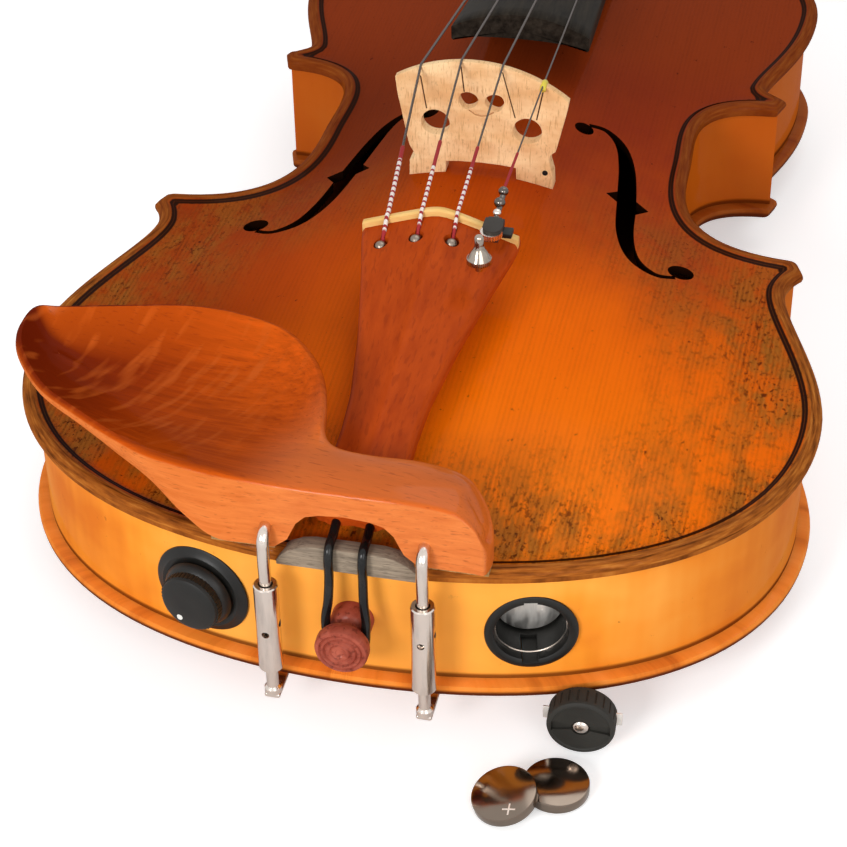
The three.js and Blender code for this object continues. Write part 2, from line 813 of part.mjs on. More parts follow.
// Fingerboard: a round top on a flat bottom, scooped where it hangs over the body
const boardHalf = (y) => mix(boardEndHalf, boardNutHalf, (y - boardEndY) / boardLength);
const boardGlueZ = (y) => mix(boardEndZ, boardNutZ, (y - boardEndY) / boardLength);
const roundDrop = (x, radius) => radius - Math.sqrt(radius * radius - x * x);
const boardTopZ = (x, y) =>
  boardGlueZ(y) + boardEdge + roundDrop(boardHalf(y), boardRadius) - roundDrop(x, boardRadius);

const boardTopShares = [-1, -0.66, -0.33, 0, 0.33, 0.66, 1];
const boardUnderShares = [0.6, 0, -0.6];

function fingerboard() {
  const section = (y, scoop) => {
    const half = boardHalf(y);
    const under = boardUnderShares.map((share) => {
      const lift = share === 0 ? scoop : scoop / 2;
      return new THREE.Vector3(share * half, y, boardGlueZ(y) + lift);
    });
    const bottom = [
      new THREE.Vector3(half, y, boardGlueZ(y)),
      ...under,
      new THREE.Vector3(-half, y, boardGlueZ(y)),
    ];
    const top = boardTopShares.map((share) =>
      new THREE.Vector3(share * half, y, boardTopZ(share * half, y)));
    return [...bottom, ...top];
  };
  const overEnd = bodyLength - 2 * neckRootDepth;
  return loft([
    section(boardEndY, boardScoop),
    section(overEnd - boardScoop, boardScoop),
    section(overEnd, 0),
    section(nutY - faceGap, 0),
  ]);
}

part('fingerboard', fingerboard(), ebony);

// Nut
const nutTopZ = (x) => boardTopZ(0, nutY) + nutRise - roundDrop(x, boardRadius);
const nutBaseZ = boardNutZ + faceGap;

const nutShares = [1, 0.5, 0, -0.5, -1];

function nut() {
  const outline = [
    new THREE.Vector2(-boardNutHalf, nutBaseZ),
    new THREE.Vector2(boardNutHalf, nutBaseZ),
    ...nutShares.map((share) => new THREE.Vector2(share * boardNutHalf, nutTopZ(share * boardNutHalf))),
  ];
  return prismAlongY(outline, nutY, nutY + nutLength);
}

part('nut', nut(), ebony);

// Neck: rings from the root in the block, over the heel, to the pegbox
const heelShares = [
  { y: -1, drop: 1, power: 7 },
  { y: 0, drop: 1, power: 7 },
  { y: 0.35, drop: 0.99, power: 4.5 },
  { y: 0.48, drop: 0.92, power: 3.6 },
  { y: 0.58, drop: 0.76, power: 3 },
  { y: 0.7, drop: 0.48, power: 2.6 },
  { y: 0.85, drop: 0.2, power: 2.3 },
  { y: 1, drop: 0.06, power: 2.1 },
  { y: 1.4, drop: 0, power: 2 },
];

function neckRing(y, bottomZ, power) {
  const half = boardHalf(y) - neckSideInset;
  const topZ = boardGlueZ(y) - faceGap;
  const sideZ = topZ - neckSideInset;
  const ring = [new THREE.Vector3(half, y, topZ)];
  const steps = 12;
  for (let i = 0; i <= steps; i += 1) {
    const angle = (Math.PI * i) / steps;
    const round = (value) => Math.sign(value) * Math.abs(value) ** (2 / power);
    const x = half * round(Math.cos(angle));
    ring.push(new THREE.Vector3(x, y, sideZ - (sideZ - bottomZ) * round(Math.sin(angle))));
  }
  ring.push(new THREE.Vector3(-half, y, topZ));
  return ring;
}

function neckShaft() {
  const heelBaseZ = backGlueZ + faceGap;
  const neckBackZ = (y) => boardGlueZ(y) - neckDepth;
  const heelY = bodyLength;
  const rings = heelShares.map(({ y, drop, power }) => {
    const station = heelY + (y < 0 ? -neckRootDepth : y * heelReach);
    return neckRing(station, mix(neckBackZ(station), heelBaseZ, drop), power);
  });
  const end = nutY + nutLength / 2;
  rings.push(neckRing((heelY + end) / 2, neckBackZ((heelY + end) / 2), 2));
  rings.push(neckRing(end, neckBackZ(end), 2));
  return loft(rings);
}

// Pegbox: a side profile, narrowed towards the throat, with the slot for the strings cut down into it
const pegboxTopShares = [[0, 0], [0.085, 0], [0.09, 0.03], [0.35, -0.075], [0.63, -0.13], [0.84, -0.165],
  [0.94, -0.24], [1.01, -0.38], [1.08, -0.47]];
const pegboxBackShares = [[1.24, -1.015], [1.05, -0.985], [0.84, -0.93], [0.56, -0.82], [0.3, -0.68],
  [0.1, -0.52], [0, -0.37]];
const pegboxDepth = 34;

const pegboxHalf = (y) => mix(pegboxFrontHalf, pegboxThroatHalf, Math.min(1, (y - nutY) / pegboxLength));
const pegboxBackZ = (y) => {
  const share = (y - nutY) / pegboxLength;
  const run = pegboxBackShares.toReversed();
  const next = run.findIndex(([along]) => along >= share);
  const [a, b] = [run[Math.max(next - 1, 0)], run[next]];
  const t = b[0] === a[0] ? 0 : (share - a[0]) / (b[0] - a[0]);
  return boardNutZ + pegboxDepth * mix(a[1], b[1], t);
};

function pegbox() {
  const outline = [...pegboxBackShares.toReversed(), ...pegboxTopShares.toReversed()]
    .map(([along, up]) => new THREE.Vector2(nutY + along * pegboxLength, boardNutZ + up * pegboxDepth));
  const slab = prismAlongX(outline, -1, 1);
  const position = slab.attributes.position;
  for (let i = 0; i < position.count; i += 1) {
    position.setX(i, position.getX(i) * pegboxHalf(position.getY(i)));
  }
  const [from, to] = [nutY + slotStart, nutY + slotEnd];
  const floor = (y) => pegboxBackZ(y) + slotFloor;
  const slotRings = [from, (from + to) / 2, to].map((y) => {
    const half = pegboxHalf(y) - pegboxWall;
    const top = boardNutZ + overrun;
    return [[half, floor(y)], [half, top], [-half, top], [-half, floor(y)]]
      .map(([x, z]) => new THREE.Vector3(x, y, z));
  });
  return cut(slab, loft(slotRings));
}

// Scroll: a spiral that narrows as it turns, in steps that widen towards the eye
function scrollLayers() {
  const turn = 2 * Math.PI;
  const decay = Math.log(scrollRadius / scrollEyeRadius) / (scrollTurns * turn);
  const layers = [];
  const count = 2 * (scrollTurns - 0.5);
  for (let k = 0; k <= count; k += 1) {
    const start = (k * turn) / 2;
    const outline = [];
    const steps = 18;
    for (let i = 0; i < steps; i += 1) {
      const angle = start + (turn * i) / steps;
      const radius = scrollRadius * Math.exp(-decay * angle);
      outline.push(new THREE.Vector2(
        scrollY + radius * Math.sin(angle),
        scrollZ - radius * Math.cos(angle),
      ));
    }
    const half = mix(scrollStartHalf, scrollEyeHalf, k / count);
    layers.push(prismAlongX(outline, -half, half));
  }
  return layers;
}

const pegY = pegStations.map((station) => nutY + station);

function pegHoles() {
  return pegY.map((y, i) => {
    const fit = (radius) => (radius + pegTurnGap) / Math.cos(Math.PI / 12);
    const reach = pegboxFrontHalf + overrun;
    const hole = new THREE.CylinderGeometry(fit(pegHeadRadius), fit(pegTailRadius), 2 * reach, 12);
    return hole.rotateZ(pegSides[i] > 0 ? -Math.PI / 2 : Math.PI / 2).translate(0, y, pegHeights[i]);
  });
}

part('neck', cut(join(neckShaft(), pegbox(), ...scrollLayers()), ...pegHoles()), varnish);

// Tuning pegs
function peg(index) {
  const wall = pegboxHalf(pegY[index]);
  const reach = pegboxFrontHalf + overrun;
  const radiusAt = (x) => mix(pegTailRadius, pegHeadRadius, (x + reach) / (2 * reach));
  const tip = -wall - pegEndReach;
  const collar = wall + pegEndReach;
  const stemEnd = wall + pegStemLength;
  const shaft = turned([
    [0, tip],
    [radiusAt(tip), tip],
    [radiusAt(collar), collar],
    [pegCollarRadius, collar],
    [pegCollarRadius, collar + padThickness],
    [pegTailRadius, collar + 2 * padThickness],
    [pegTailRadius, stemEnd],
    [0, stemEnd + pegTailRadius],
  ], 12).rotateZ(-Math.PI / 2);
  const thumb = new THREE.SphereGeometry(1, 12, 8)
    .scale(pegThumbLength / 2, pegThumbThickness / 2, pegThumbWidth / 2)
    .rotateX(pegThumbAngles[index])
    .translate(stemEnd + pegThumbLength / 3, 0, 0);
  const whole = join(shaft, thumb);
  if (pegSides[index] < 0) whole.rotateZ(Math.PI);
  return whole.translate(0, pegY[index], pegHeights[index]);
}

['g', 'e', 'd', 'a'].forEach((letter, i) => part(`peg_${letter}`, peg(i), pegWood));

// Bridge: a tapered slice with two side eyes and a split heart
const bridgeBaseZ = topSurfaceZ(0, bridgeY);
const bridgeTopZ = bridgeBaseZ + bridgeHeight;
const crownZ = (x) => bridgeTopZ - roundDrop(x - bridgeApexX, bridgeCrownRadius);
const bridgeCrownShares = [1, 0.75, 0.5, 0.25, 0, -0.25, -0.5, -0.75, -1];
const bridgeSideShares = [[0.95, 0.62], [0.885, 0.33], [0.87, 0.24], [0.855, 0.12]];
const bridgeArchShares = [[1, 0.09], [0.5, 0.105], [-0.5, 0.105], [-1, 0.09]];

function bridge() {
  const footIn = bridgeFootHalf - bridgeFootWidth;
  const footZ = (x) => topSurfaceZ(x, bridgeY + bridgeFootThickness / 2) + seatGap;
  const foot = [bridgeFootHalf, (bridgeFootHalf + footIn) / 2, footIn]
    .map((x) => new THREE.Vector2(x, footZ(x)));
  const side = bridgeSideShares.map(([x, z]) =>
    new THREE.Vector2(x * bridgeTopHalf, bridgeBaseZ + z * bridgeHeight));
  const outline = [
    ...foot.toReversed(),
    ...side.toReversed(),
    ...bridgeCrownShares.map((share) =>
      new THREE.Vector2(share * bridgeTopHalf, crownZ(share * bridgeTopHalf))),
    ...side.map((p) => new THREE.Vector2(-p.x, p.y)),
    ...foot.map((p) => new THREE.Vector2(-p.x, p.y)),
    ...bridgeArchShares.toReversed().map(([x, z]) =>
      new THREE.Vector2(x * footIn, bridgeBaseZ + z * bridgeHeight)),
  ];
  const shape = new THREE.Shape(outline);
  const hole = (x, z, half, rise) => {
    const ring = polygon(1, 12).map((p) => new THREE.Vector2(x + half * p.x, z + rise * p.y));
    shape.holes.push(new THREE.Path(ring.reverse()));
  };
  for (const side of [-1, 1]) {
    hole(side * bridgeEyeX, bridgeBaseZ + bridgeEyeZ, bridgeEyeHalf, bridgeEyeRise);
    hole(side * heartX, bridgeBaseZ + heartZ, heartHalf, heartHalf);
  }
  const slice = new THREE.ExtrudeGeometry(shape, { depth: 1, bevelEnabled: false })
    .rotateX(Math.PI / 2).translate(0, 0.5, 0);
  const position = slice.attributes.position;
  for (let i = 0; i < position.count; i += 1) {
    const share = (position.getZ(i) - bridgeBaseZ) / bridgeHeight;
    const thickness = mix(bridgeFootThickness, bridgeCrownThickness, share);
    position.setY(i, bridgeY + position.getY(i) * thickness);
  }
  return slice;
}

part('bridge', bridge(), maple);

// Tailpiece: a long wedge with a roofed top and the fret let into its upper end
const tailShares = [
  { along: 0, half: 0.45 },
  { along: 0.12, half: 0.46 },
  { along: 0.38, half: 0.475 },
  { along: 0.58, half: 0.62 },
  { along: 0.78, half: 0.81 },
  { along: 0.95, half: 0.985 },
  { along: 1, half: 1 },
];
const roofShares = [1, 0.5, 0, -0.5, -1];
const stringPlaceShares = [-1.5, -0.5, 0.5, 1.5];
const tailShare = (y) => (y - tailStartY) / (tailEndY - tailStartY);
const tailTopZ = (y) => mix(tailLowZ, tailHighZ, tailShare(y));
const tailDrop = (y) => mix(tailLowDrop, tailHighDrop, tailShare(y));

function tailHalf(y) {
  const next = Math.max(1, tailShares.findIndex(({ along }) => along >= tailShare(y)));
  const [a, b] = [tailShares[next - 1], tailShares[next]];
  return tailWideHalf * mix(a.half, b.half, (tailShare(y) - a.along) / (b.along - a.along));
}

const tailRoofZ = (x, y) => tailTopZ(y) - (tailDrop(y) * Math.abs(x)) / tailHalf(y);

function fretOutline(half, low, high) {
  const strip = (share, lift) => new THREE.Vector2(share * half, tailRoofZ(share * half, fretY) + lift);
  return [
    ...roofShares.toReversed().map((share) => strip(share, low)),
    ...roofShares.map((share) => strip(share, high)),
  ];
}

function tailpiece() {
  const rings = tailShares.map(({ along }) => {
    const y = mix(tailStartY, tailEndY, along);
    const half = tailHalf(y);
    const roof = roofShares.map((share) => new THREE.Vector3(share * half, y, tailRoofZ(share * half, y)));
    const edge = tailRoofZ(half, y) - tailThickness / 2;
    const belly = tailRoofZ(half / 2, y) - tailThickness;
    const under = [new THREE.Vector3(-half, y, edge), new THREE.Vector3(-half / 2, y, belly),
      new THREE.Vector3(half / 2, y, belly), new THREE.Vector3(half, y, edge)];
    return [...roof, ...under];
  });
  const holes = stringPlaceShares.map((share) => rodUp(stringHoleRadius, share * tailStringStep, stringHoleY,
    tailTopZ(stringHoleY) - 3 * tailThickness, tailTopZ(stringHoleY) + overrun, 8));
  const groove = prismAlongY(fretOutline(tailWideHalf + overrun, -fretDepth - faceGap, overrun),
    fretY - fretWidth / 2 - faceGap, fretY + fretWidth / 2 + faceGap);
  return cut(loft(rings), ...holes, groove);
}

const tailFret = () => prismAlongY(fretOutline(tailHalf(fretY) - faceGap, -fretDepth, fretRise),
  fretY - fretWidth / 2, fretY + fretWidth / 2);

part('tailpiece', tailpiece(), tailWood);
part('tailpiece_fret', tailFret(), boxwood);

// Saddle let into the edge of the top
const saddleTopZ = topEdgeZ + saddleRise;

function saddle() {
  const lowZ = topGlueZ + faceGap;
  const outline = [[-saddleHalf, lowZ], [saddleHalf, lowZ], [saddleHalf, topEdgeZ - edgeRound],
    [saddleTopHalf, saddleTopZ], [-saddleTopHalf, saddleTopZ], [-saddleHalf, topEdgeZ - edgeRound]];
  return prismAlongY(outline.map(([x, z]) => new THREE.Vector2(x, z)), -faceGap, saddleDepth);
}

part('saddle', saddle(), ebony);

// End button, turned about the line through the end block
function endButton() {
  const pinEnd = ribOuter.lower[0].y + buttonPinDepth;
  const profile = [
    [0, buttonFaceY],
    [buttonFaceRadius, buttonFaceY],
    [buttonHeadRadius, buttonFaceY + edgeRound],
    [buttonHeadRadius, buttonHeadY - edgeRound],
    [buttonNeckRadius, buttonHeadY],
    [buttonNeckRadius, buttonNeckY],
    [buttonCollarRadius, buttonNeckY + edgeRound],
    [buttonCollarRadius, ribOuter.lower[0].y - seatGap],
    [buttonPinRadius, ribOuter.lower[0].y - seatGap],
    [buttonPinRadius, pinEnd],
    [0, pinEnd],
  ];
  return turned(profile, 20).translate(0, 0, ribMidZ);
}

part('end_button', endButton(), pegWood);

// Tail gut: from one hole of the tailpiece, over the saddle, round the button and back
const gutDropY = -gutRadius - seatGap;
const gutLoopY = (buttonHeadY + buttonNeckY) / 2;
const gutHalfRun = [
  new THREE.Vector3(gutSpread, tailStartY - seatGap, saddleTopZ + gutRadius + seatGap),
  new THREE.Vector3(gutSpread, saddleDepth / 3, saddleTopZ + gutRadius + seatGap),
  new THREE.Vector3(gutSpread, -gutRadius * Math.SQRT1_2 - seatGap, saddleTopZ + gutRadius),
  new THREE.Vector3(gutSpread, gutDropY - seatGap, saddleTopZ - gutRadius / 2),
  new THREE.Vector3(gutSpread, gutDropY, topEdgeZ - edgeThickness),
  new THREE.Vector3(gutSpread + seatGap, gutLoopY, ribMidZ + 2 * gutSpread),
  new THREE.Vector3(buttonNeckRadius + gutRadius + seatGap, gutLoopY, ribMidZ),
  new THREE.Vector3((buttonNeckRadius + gutRadius + seatGap) * Math.SQRT1_2, gutLoopY,
    ribMidZ - (buttonNeckRadius + gutRadius + seatGap) * Math.SQRT1_2),
];
const gutRun = [
  ...gutHalfRun,
  new THREE.Vector3(0, gutLoopY, ribMidZ - buttonNeckRadius - gutRadius - seatGap),
  ...gutHalfRun.map((p) => p.clone().setX(-p.x)).reverse(),
];
part('tailgut', tube(gutRun, gutRadius, 8, 44), gutPlastic);

// Fine tuner: a frame on the fret, a lever with the string hook, and the screw that presses it
const tunerInnerX = tunerX - tunerWidth / 2 - tunerPlate / 2;
const tunerBaseZ = tailRoofZ(tunerInnerX, fretY) + fretRise + seatGap;
const tunerArmTopZ = tunerBaseZ + 2 * tunerPlate + tunerLift + seatGap;

function tunerFrame() {
  const half = tunerWidth / 2;
  const plateTop = tunerBaseZ + tunerPlate;
  const bar = block(tunerX - half, tunerX + half, tunerScrewY - half, fretY + fretWidth,
    tunerBaseZ, plateTop);
  const ears = [-1, 1].map((side) => block(tunerX + side * half - tunerPlate / 2,
    tunerX + side * half + tunerPlate / 2, fretY - tunerWidth, fretY + fretWidth,
    tunerBaseZ, plateTop + 2 * tunerPlate));
  const hole = rodUp(tunerScrewRadius + seatGap, tunerX, tunerScrewY, tunerBaseZ - overrun,
    plateTop + overrun, 12);
  return cut(join(bar, ...ears), hole);
}

function tunerLever() {
  const half = tunerWidth / 2 - tunerPlate / 2 - seatGap;
  const low = tunerBaseZ + tunerPlate + seatGap;
  const armZ = low + tunerLift;
  const side = [[fretY - tunerWidth, armZ], [fretY - tunerPlate, low], [fretY + fretWidth, low],
    [tunerFrontY, tunerHookZ - tunerPlate], [tunerFrontY, tunerHookZ + tunerPlate],
    [tunerFrontY - tunerPlate, tunerHookZ + tunerPlate], [fretY + fretWidth, armZ + tunerPlate],
    [tunerScrewY - tunerWidth / 2, armZ + tunerPlate], [tunerScrewY - tunerWidth / 2, armZ]];
  const lever = prismAlongX(side.map(([y, z]) => new THREE.Vector2(y, z)), tunerX - half, tunerX + half);
  const hole = new THREE.CylinderGeometry(tunerScrewRadius + seatGap, tunerScrewRadius + seatGap,
    2 * overrun, 12).rotateX(Math.PI / 2).translate(tunerX, tunerScrewY, armZ);
  return cut(lever, hole);
}

function tunerScrew() {
  const profile = [
    [0, tunerBaseZ - seatGap],
    [tunerScrewRadius, tunerBaseZ - seatGap],
    [tunerScrewRadius, tunerArmTopZ + seatGap],
    [tunerCollarRadius, tunerArmTopZ + seatGap],
    [tunerCollarRadius, tunerHeadZ],
    [tunerHeadRadius, tunerHeadZ],
    [tunerHeadRadius, tunerHeadZ + tunerRimHeight],
    [tunerHeadTopRadius, tunerHeadZ + tunerHeadHeight],
    [0, tunerHeadZ + tunerHeadHeight],
  ];
  return turned(profile, 16).rotateX(Math.PI / 2).translate(tunerX, tunerScrewY, 0);
}

part('fine_tuner_frame', tunerFrame(), blackPlastic);
part('fine_tuner_lever', tunerLever(), nickel);
part('fine_tuner_screw', tunerScrew(), nickel);

// Strings: from the tailpiece or the tuner, over bridge and nut, round the peg
const stringNames = ['g', 'd', 'a', 'e'];
const stringPegs = [0, 2, 3, 1];
const pegTurnsShown = 2;

function stringRun(index) {
  const place = stringPlaceShares[index];
  const radius = stringRadii[index];
  const [tailX, bridgeX, nutX] = [place * tailStringStep, place * bridgeStringStep, place * nutStringStep];
  const lift = radius + seatGap;
  const fretTop = tailRoofZ(tailX, fretY) + fretRise + lift;
  const start = index === 3
    ? [new THREE.Vector3(tunerX, tunerFrontY + lift, tunerHookZ)]
    : [
      new THREE.Vector3(tailX, stringHoleY, tailRoofZ(tailX, stringHoleY) - tailThickness / 2),
      new THREE.Vector3(tailX, stringHoleY + radius, tailRoofZ(tailX, stringHoleY + radius) + lift),
      new THREE.Vector3(tailX, fretY - fretWidth / 2, fretTop),
    ];
  const pegIndex = stringPegs[index];
  const spool = pegHeadRadius + radius + seatGap;
  const [spoolY, spoolZ] = [pegY[pegIndex], pegHeights[pegIndex]];
  const spoolX = (pegIndex % 2 === 0 ? -1 : 1) * (pegboxHalf(spoolY) - pegboxWall - 4 * radius - seatGap);
  const nutZ = nutTopZ(nutX) + lift;
  const run = [
    ...start,
    new THREE.Vector3(bridgeX, bridgeY, crownZ(bridgeX) + lift),
    new THREE.Vector3(nutX, nutY, nutZ),
    new THREE.Vector3(nutX, nutY + nutLength, nutZ),
  ];
  const steps = 8;
  const pitch = 3 * radius * -Math.sign(spoolX);
  for (let i = 0; i <= pegTurnsShown * steps; i += 1) {
    const angle = (2 * Math.PI * i) / steps;
    run.push(new THREE.Vector3(
      spoolX + (pitch * i) / steps,
      spoolY + spool * Math.sin(angle),
      spoolZ + spool * Math.cos(angle),
    ));
  }
  return run;
}

stringNames.forEach((letter, i) => {
  part(`string_${letter}`, pathTube(stringRun(i), stringRadii[i], stringSides), steel);
});

// Chin rest: a dished cup on the bass side and a bar over the tailpiece, on two feet.
// Rows run from the right end to the left; all are shares of length, depth and rise.
const chinRightEndShares = [0.272, 0.06, 0.28];
const chinLeftEndShares = [-0.724, 0.67, 0.985];
const chinBackShares = [
  [0.262, 0.14, 0.36], [0.231, 0.208, 0.52], [0.187, 0.242, 0.67], [0.112, 0.258, 0.73],
  [0.022, 0.258, 0.73], [-0.045, 0.275, 0.745], [-0.07, 0.33, 0.81], [-0.078, 0.433, 0.91],
  [-0.097, 0.567, 0.97], [-0.131, 0.7, 0.985], [-0.19, 0.84, 0.985], [-0.27, 0.92, 0.985],
  [-0.381, 0.95, 0.985], [-0.5, 0.905, 0.985], [-0.634, 0.825, 0.985], [-0.695, 0.76, 0.985],
];
const chinFrontShares = [
  [0.262, -0.017, 0.36], [0.235, -0.017, 0.55], [0.187, -0.017, 0.69], [0.112, -0.017, 0.73],
  [0.02, -0.017, 0.73], [-0.06, -0.017, 0.73], [-0.12, -0.017, 0.74], [-0.18, -0.017, 0.755],
  [-0.24, -0.017, 0.78], [-0.3, 0, 0.8], [-0.365, 0.03, 0.82], [-0.44, 0.108, 0.835],
  [-0.522, 0.217, 0.84], [-0.6, 0.33, 0.855], [-0.67, 0.46, 0.91], [-0.712, 0.57, 0.97],
];
const chinSpineShares = [
  [0.245, 0.06], [0.22, 0.09], [0.187, 0.11], [0.112, 0.12],
  [0.02, 0.12], [-0.05, 0.13], [-0.1, 0.2], [-0.14, 0.28],
  [-0.19, 0.36], [-0.24, 0.42], [-0.3, 0.46], [-0.36, 0.5],
  [-0.43, 0.54], [-0.5, 0.57], [-0.56, 0.61], [-0.61, 0.64],
];
const chinFloorShares = [
  0.48, 0.62, 0.73, 0.77, 0.77, 0.775, 0.76, 0.71, 0.66, 0.63, 0.6, 0.58, 0.585, 0.6, 0.65, 0.72,
];
const chinUnderShares = [
  0.3, 0.36, 0.42, 0.5, 0.5, 0.5, 0.46, 0.42, 0.38, 0.36, 0.34, 0.33, 0.34, 0.36, 0.4, 0.46,
];
const chinArchShares = [
  [1, -0.4], [1, 0.02], [0.8, 0.27], [0.67, 0.68], [0.54, 0.88], [0.34, 0.96], [0, 1],
  [-0.34, 0.96], [-0.54, 0.88], [-0.67, 0.68], [-0.8, 0.27], [-1, 0.02], [-1, -0.4],
];
const chinFootShares = [[-0.255, 0], [0.27, 0], [0.262, 0.32], [0.2, 0.6], [-0.29, 0.72]];
const chinDishShares = [0.2, 0.45, 0.75, 1];
const chinHollowShare = 0.55;
const chinSinkShare = 0.8;
const chinTuckShare = 0.14;
const chinLipShare = 0.03;
const chinPadShare = 0.25;
const chinBaseZ = topEdgeZ + chinFootGap;

const chinPlaces = [0, ...chinBackShares.keys(), chinBackShares.length - 1,
  ...[...chinFrontShares.keys()].reverse()];
const chinRim = [chinRightEndShares, ...chinBackShares, chinLeftEndShares, ...chinFrontShares.toReversed()];

function chinRing(share, heightOf) {
  return chinRim.map((rim, i) => {
    const place = chinPlaces[i];
    const spine = chinSpineShares[place];
    const levels = [rim[2], chinFloorShares[place], chinUnderShares[place]].map((level) => level * chinRise);
    return new THREE.Vector3(
      chinLength * mix(rim[0], spine[0], share),
      chinDepth * mix(rim[1], spine[1], share),
      chinBaseZ + heightOf(...levels),
    );
  });
}

function chinRest() {
  const ease = (share) => 1 - (1 - share) ** 2;
  const dish = (share) => chinRing(share, (rim, floor) => mix(rim, floor, ease(share)));
  const wall = (rim, amount) => Math.max(0, rim - amount);
  const shell = loft([
    chinRing(1, (rim, floor, under) => under),
    chinRing(chinHollowShare, (rim, floor, under) => mix(wall(rim, chinWall), under, chinSinkShare)),
    chinRing(chinTuckShare, (rim) => wall(rim, chinWall)),
    chinRing(0, (rim) => wall(rim, chinWall / 2)),
    chinRing(0, (rim) => wall(rim, edgeRound / 2)),
    chinRing(chinLipShare, (rim) => rim),
    ...chinDishShares.map(dish),
  ], false);
  const frontY = chinDepth * chinFrontShares[0][1];
  const footOutline = at(chinLength, chinRise, chinFootShares).map((p) => p.setY(p.y + chinBaseZ));
  const feet = prismAlongY(footOutline, frontY + faceGap, chinFootDepth);
  const archOutline = at(chinArchHalf, chinArchRise, chinArchShares)
    .map((p) => p.setY(p.y + chinBaseZ));
  const tunnel = prismAlongY(archOutline, -overrun, chinDepth / 2);
  const hookHoles = [-1, 1].map((side) =>
    rodAlongY(clampRodRadius + seatGap, side * clampX, hookZ, -overrun, hookReach, 10));
  return cut(join(shell, feet), tunnel, ...hookHoles);
}

part('chinrest', chinRest(), chinWood);

// Cork pads between the feet and the top
for (const [sideName, side] of [['bass', -1], ['treble', 1]]) {
  const [near, far] = [chinArchHalf + seatGap, chinLength * chinPadShare];
  const pad = block(Math.min(side * near, side * far), Math.max(side * near, side * far),
    edgeRound, channelInset, topEdgeZ + faceGap, topEdgeZ + faceGap + padThickness);
  const saddleSide = block(-saddleHalf - seatGap, saddleHalf + seatGap, -overrun, saddleDepth + seatGap,
    topGlueZ, topEdgeZ + overrun);
  part(`chinrest_pad_${sideName}`, cut(pad, saddleSide), cork);
}

// Clamps: a hook into the chin rest, a turning barrel, and a foot under the back
const clampFootZ = backEdgeZ - footThickness - seatGap;

function clampHook(x) {
  const top = new THREE.Vector3(x, clampY + 2 * clampRodRadius, hookZ);
  const run = [
    new THREE.Vector3(x, clampY, barrelHighZ - 4 * barrelRadius),
    new THREE.Vector3(x, clampY, barrelHighZ),
    new THREE.Vector3(x, clampY, hookZ - 2 * clampRodRadius),
    new THREE.Vector3(x, clampY + clampRodRadius / 2, hookZ - clampRodRadius / 2),
    top,
    new THREE.Vector3(x, hookReach - seatGap, hookZ),
  ];
  return tube(run, clampRodRadius, 8, 16);
}

function clampBarrel(x) {
  const profile = [
    [barrelBore, barrelLowZ],
    [barrelRadius, barrelLowZ],
    [barrelRadius, barrelHighZ],
    [barrelBore, barrelHighZ],
    [barrelBore, barrelLowZ],
  ];
  const sleeve = turned(profile, 16).rotateX(Math.PI / 2);
  const crossHole = rodAlongY(barrelHoleRadius, 0, ribMidZ, -overrun, overrun, 8);
  return cut(sleeve, crossHole).translate(x, clampY, 0);
}

function clampFoot(x) {
  const run = [
    new THREE.Vector3(x, clampY, barrelLowZ + 4 * barrelRadius),
    new THREE.Vector3(x, clampY, clampFootZ + footThickness / 2),
  ];
  const rod = pathTube(run, clampRodRadius, 8);
  const plate = block(x - 2 * barrelRadius, x + 2 * barrelRadius, clampY - clampRodRadius,
    clampY + footReach, clampFootZ, clampFootZ + footThickness);
  return join(plate, rod);
}

for (const [sideName, side] of [['bass', -1], ['treble', 1]]) {
  const x = side * clampX;
  part(`clamp_hook_${sideName}`, clampHook(x), nickel);
  part(`clamp_barrel_${sideName}`, clampBarrel(x), nickel);
  part(`clamp_foot_${sideName}`, clampFoot(x), nickel);
}

// Volume control on the bass side of the lower rib; local minus Y points out of the rib
const turnedOnRib = (profile, sides, seat, z) => onRib(turned(profile, sides), seat, z);

const bezelProfile = [
  [bushRadius + seatGap, -seatGap],
  [bushRadius + seatGap, -bezelDepth],
  [bezelRadius - bezelDepth, -bezelDepth],
  [bezelRadius, -seatGap],
  [bushRadius + seatGap, -seatGap],
];
const knobBack = -bezelDepth - seatGap;
const shaftRadius = bushRadius - 2 * seatGap;
const knobProfile = [
  [0, knobBack - knobDepth],
  [knobRadius - knobSkirt, knobBack - knobDepth],
  [knobRadius, knobBack - knobDepth + knobSkirt],
  [knobRadius + knobSkirt, knobBack],
  [shaftRadius + seatGap, knobBack],
  [shaftRadius + seatGap, knobBack - knobDepth / 2],
  [0, knobBack - knobDepth / 2],
];
const potProfile = [
  [0, knobBack - knobDepth / 2 + seatGap],
  [shaftRadius, knobBack - knobDepth / 2 + seatGap],
  [shaftRadius, -bezelDepth + seatGap],
  [bushRadius, -bezelDepth + seatGap],
  [bushRadius, ribThickness + 2 * seatGap],
  [potRadius, ribThickness + 2 * seatGap],
  [potRadius, ribThickness + potDepth],
  [0, ribThickness + potDepth],
];
part('knob_bezel', turnedOnRib(bezelProfile, 28, knobSeat, controlZ), blackPlastic);
part('volume_knob', turnedOnRib(knobProfile, 28, knobSeat, controlZ), blackPlastic);
part('potentiometer', turnedOnRib(potProfile, 16, knobSeat, controlZ), steel);

// Battery socket on the treble side: a flanged cup with a slot above and below the bore
function batterySocket() {
  const cup = turned([
    [0, socketDepth],
    [0, socketDepth - socketFloor],
    [socketBore, socketDepth - socketFloor],
    [socketBore, -socketFlange],
    [socketFlangeRadius, -socketFlange],
    [socketFlangeRadius, -seatGap],
    [socketRadius, -seatGap],
    [socketRadius, socketDepth],
    [0, socketDepth],
  ], 28);
  const slot = block(-socketSlotWidth / 2, socketSlotWidth / 2, -socketFlange - overrun,
    socketDepth / 3, -socketRadius + seatGap, socketRadius - seatGap);
  return onRib(cut(cup, slot), socketSeat, controlZ);
}

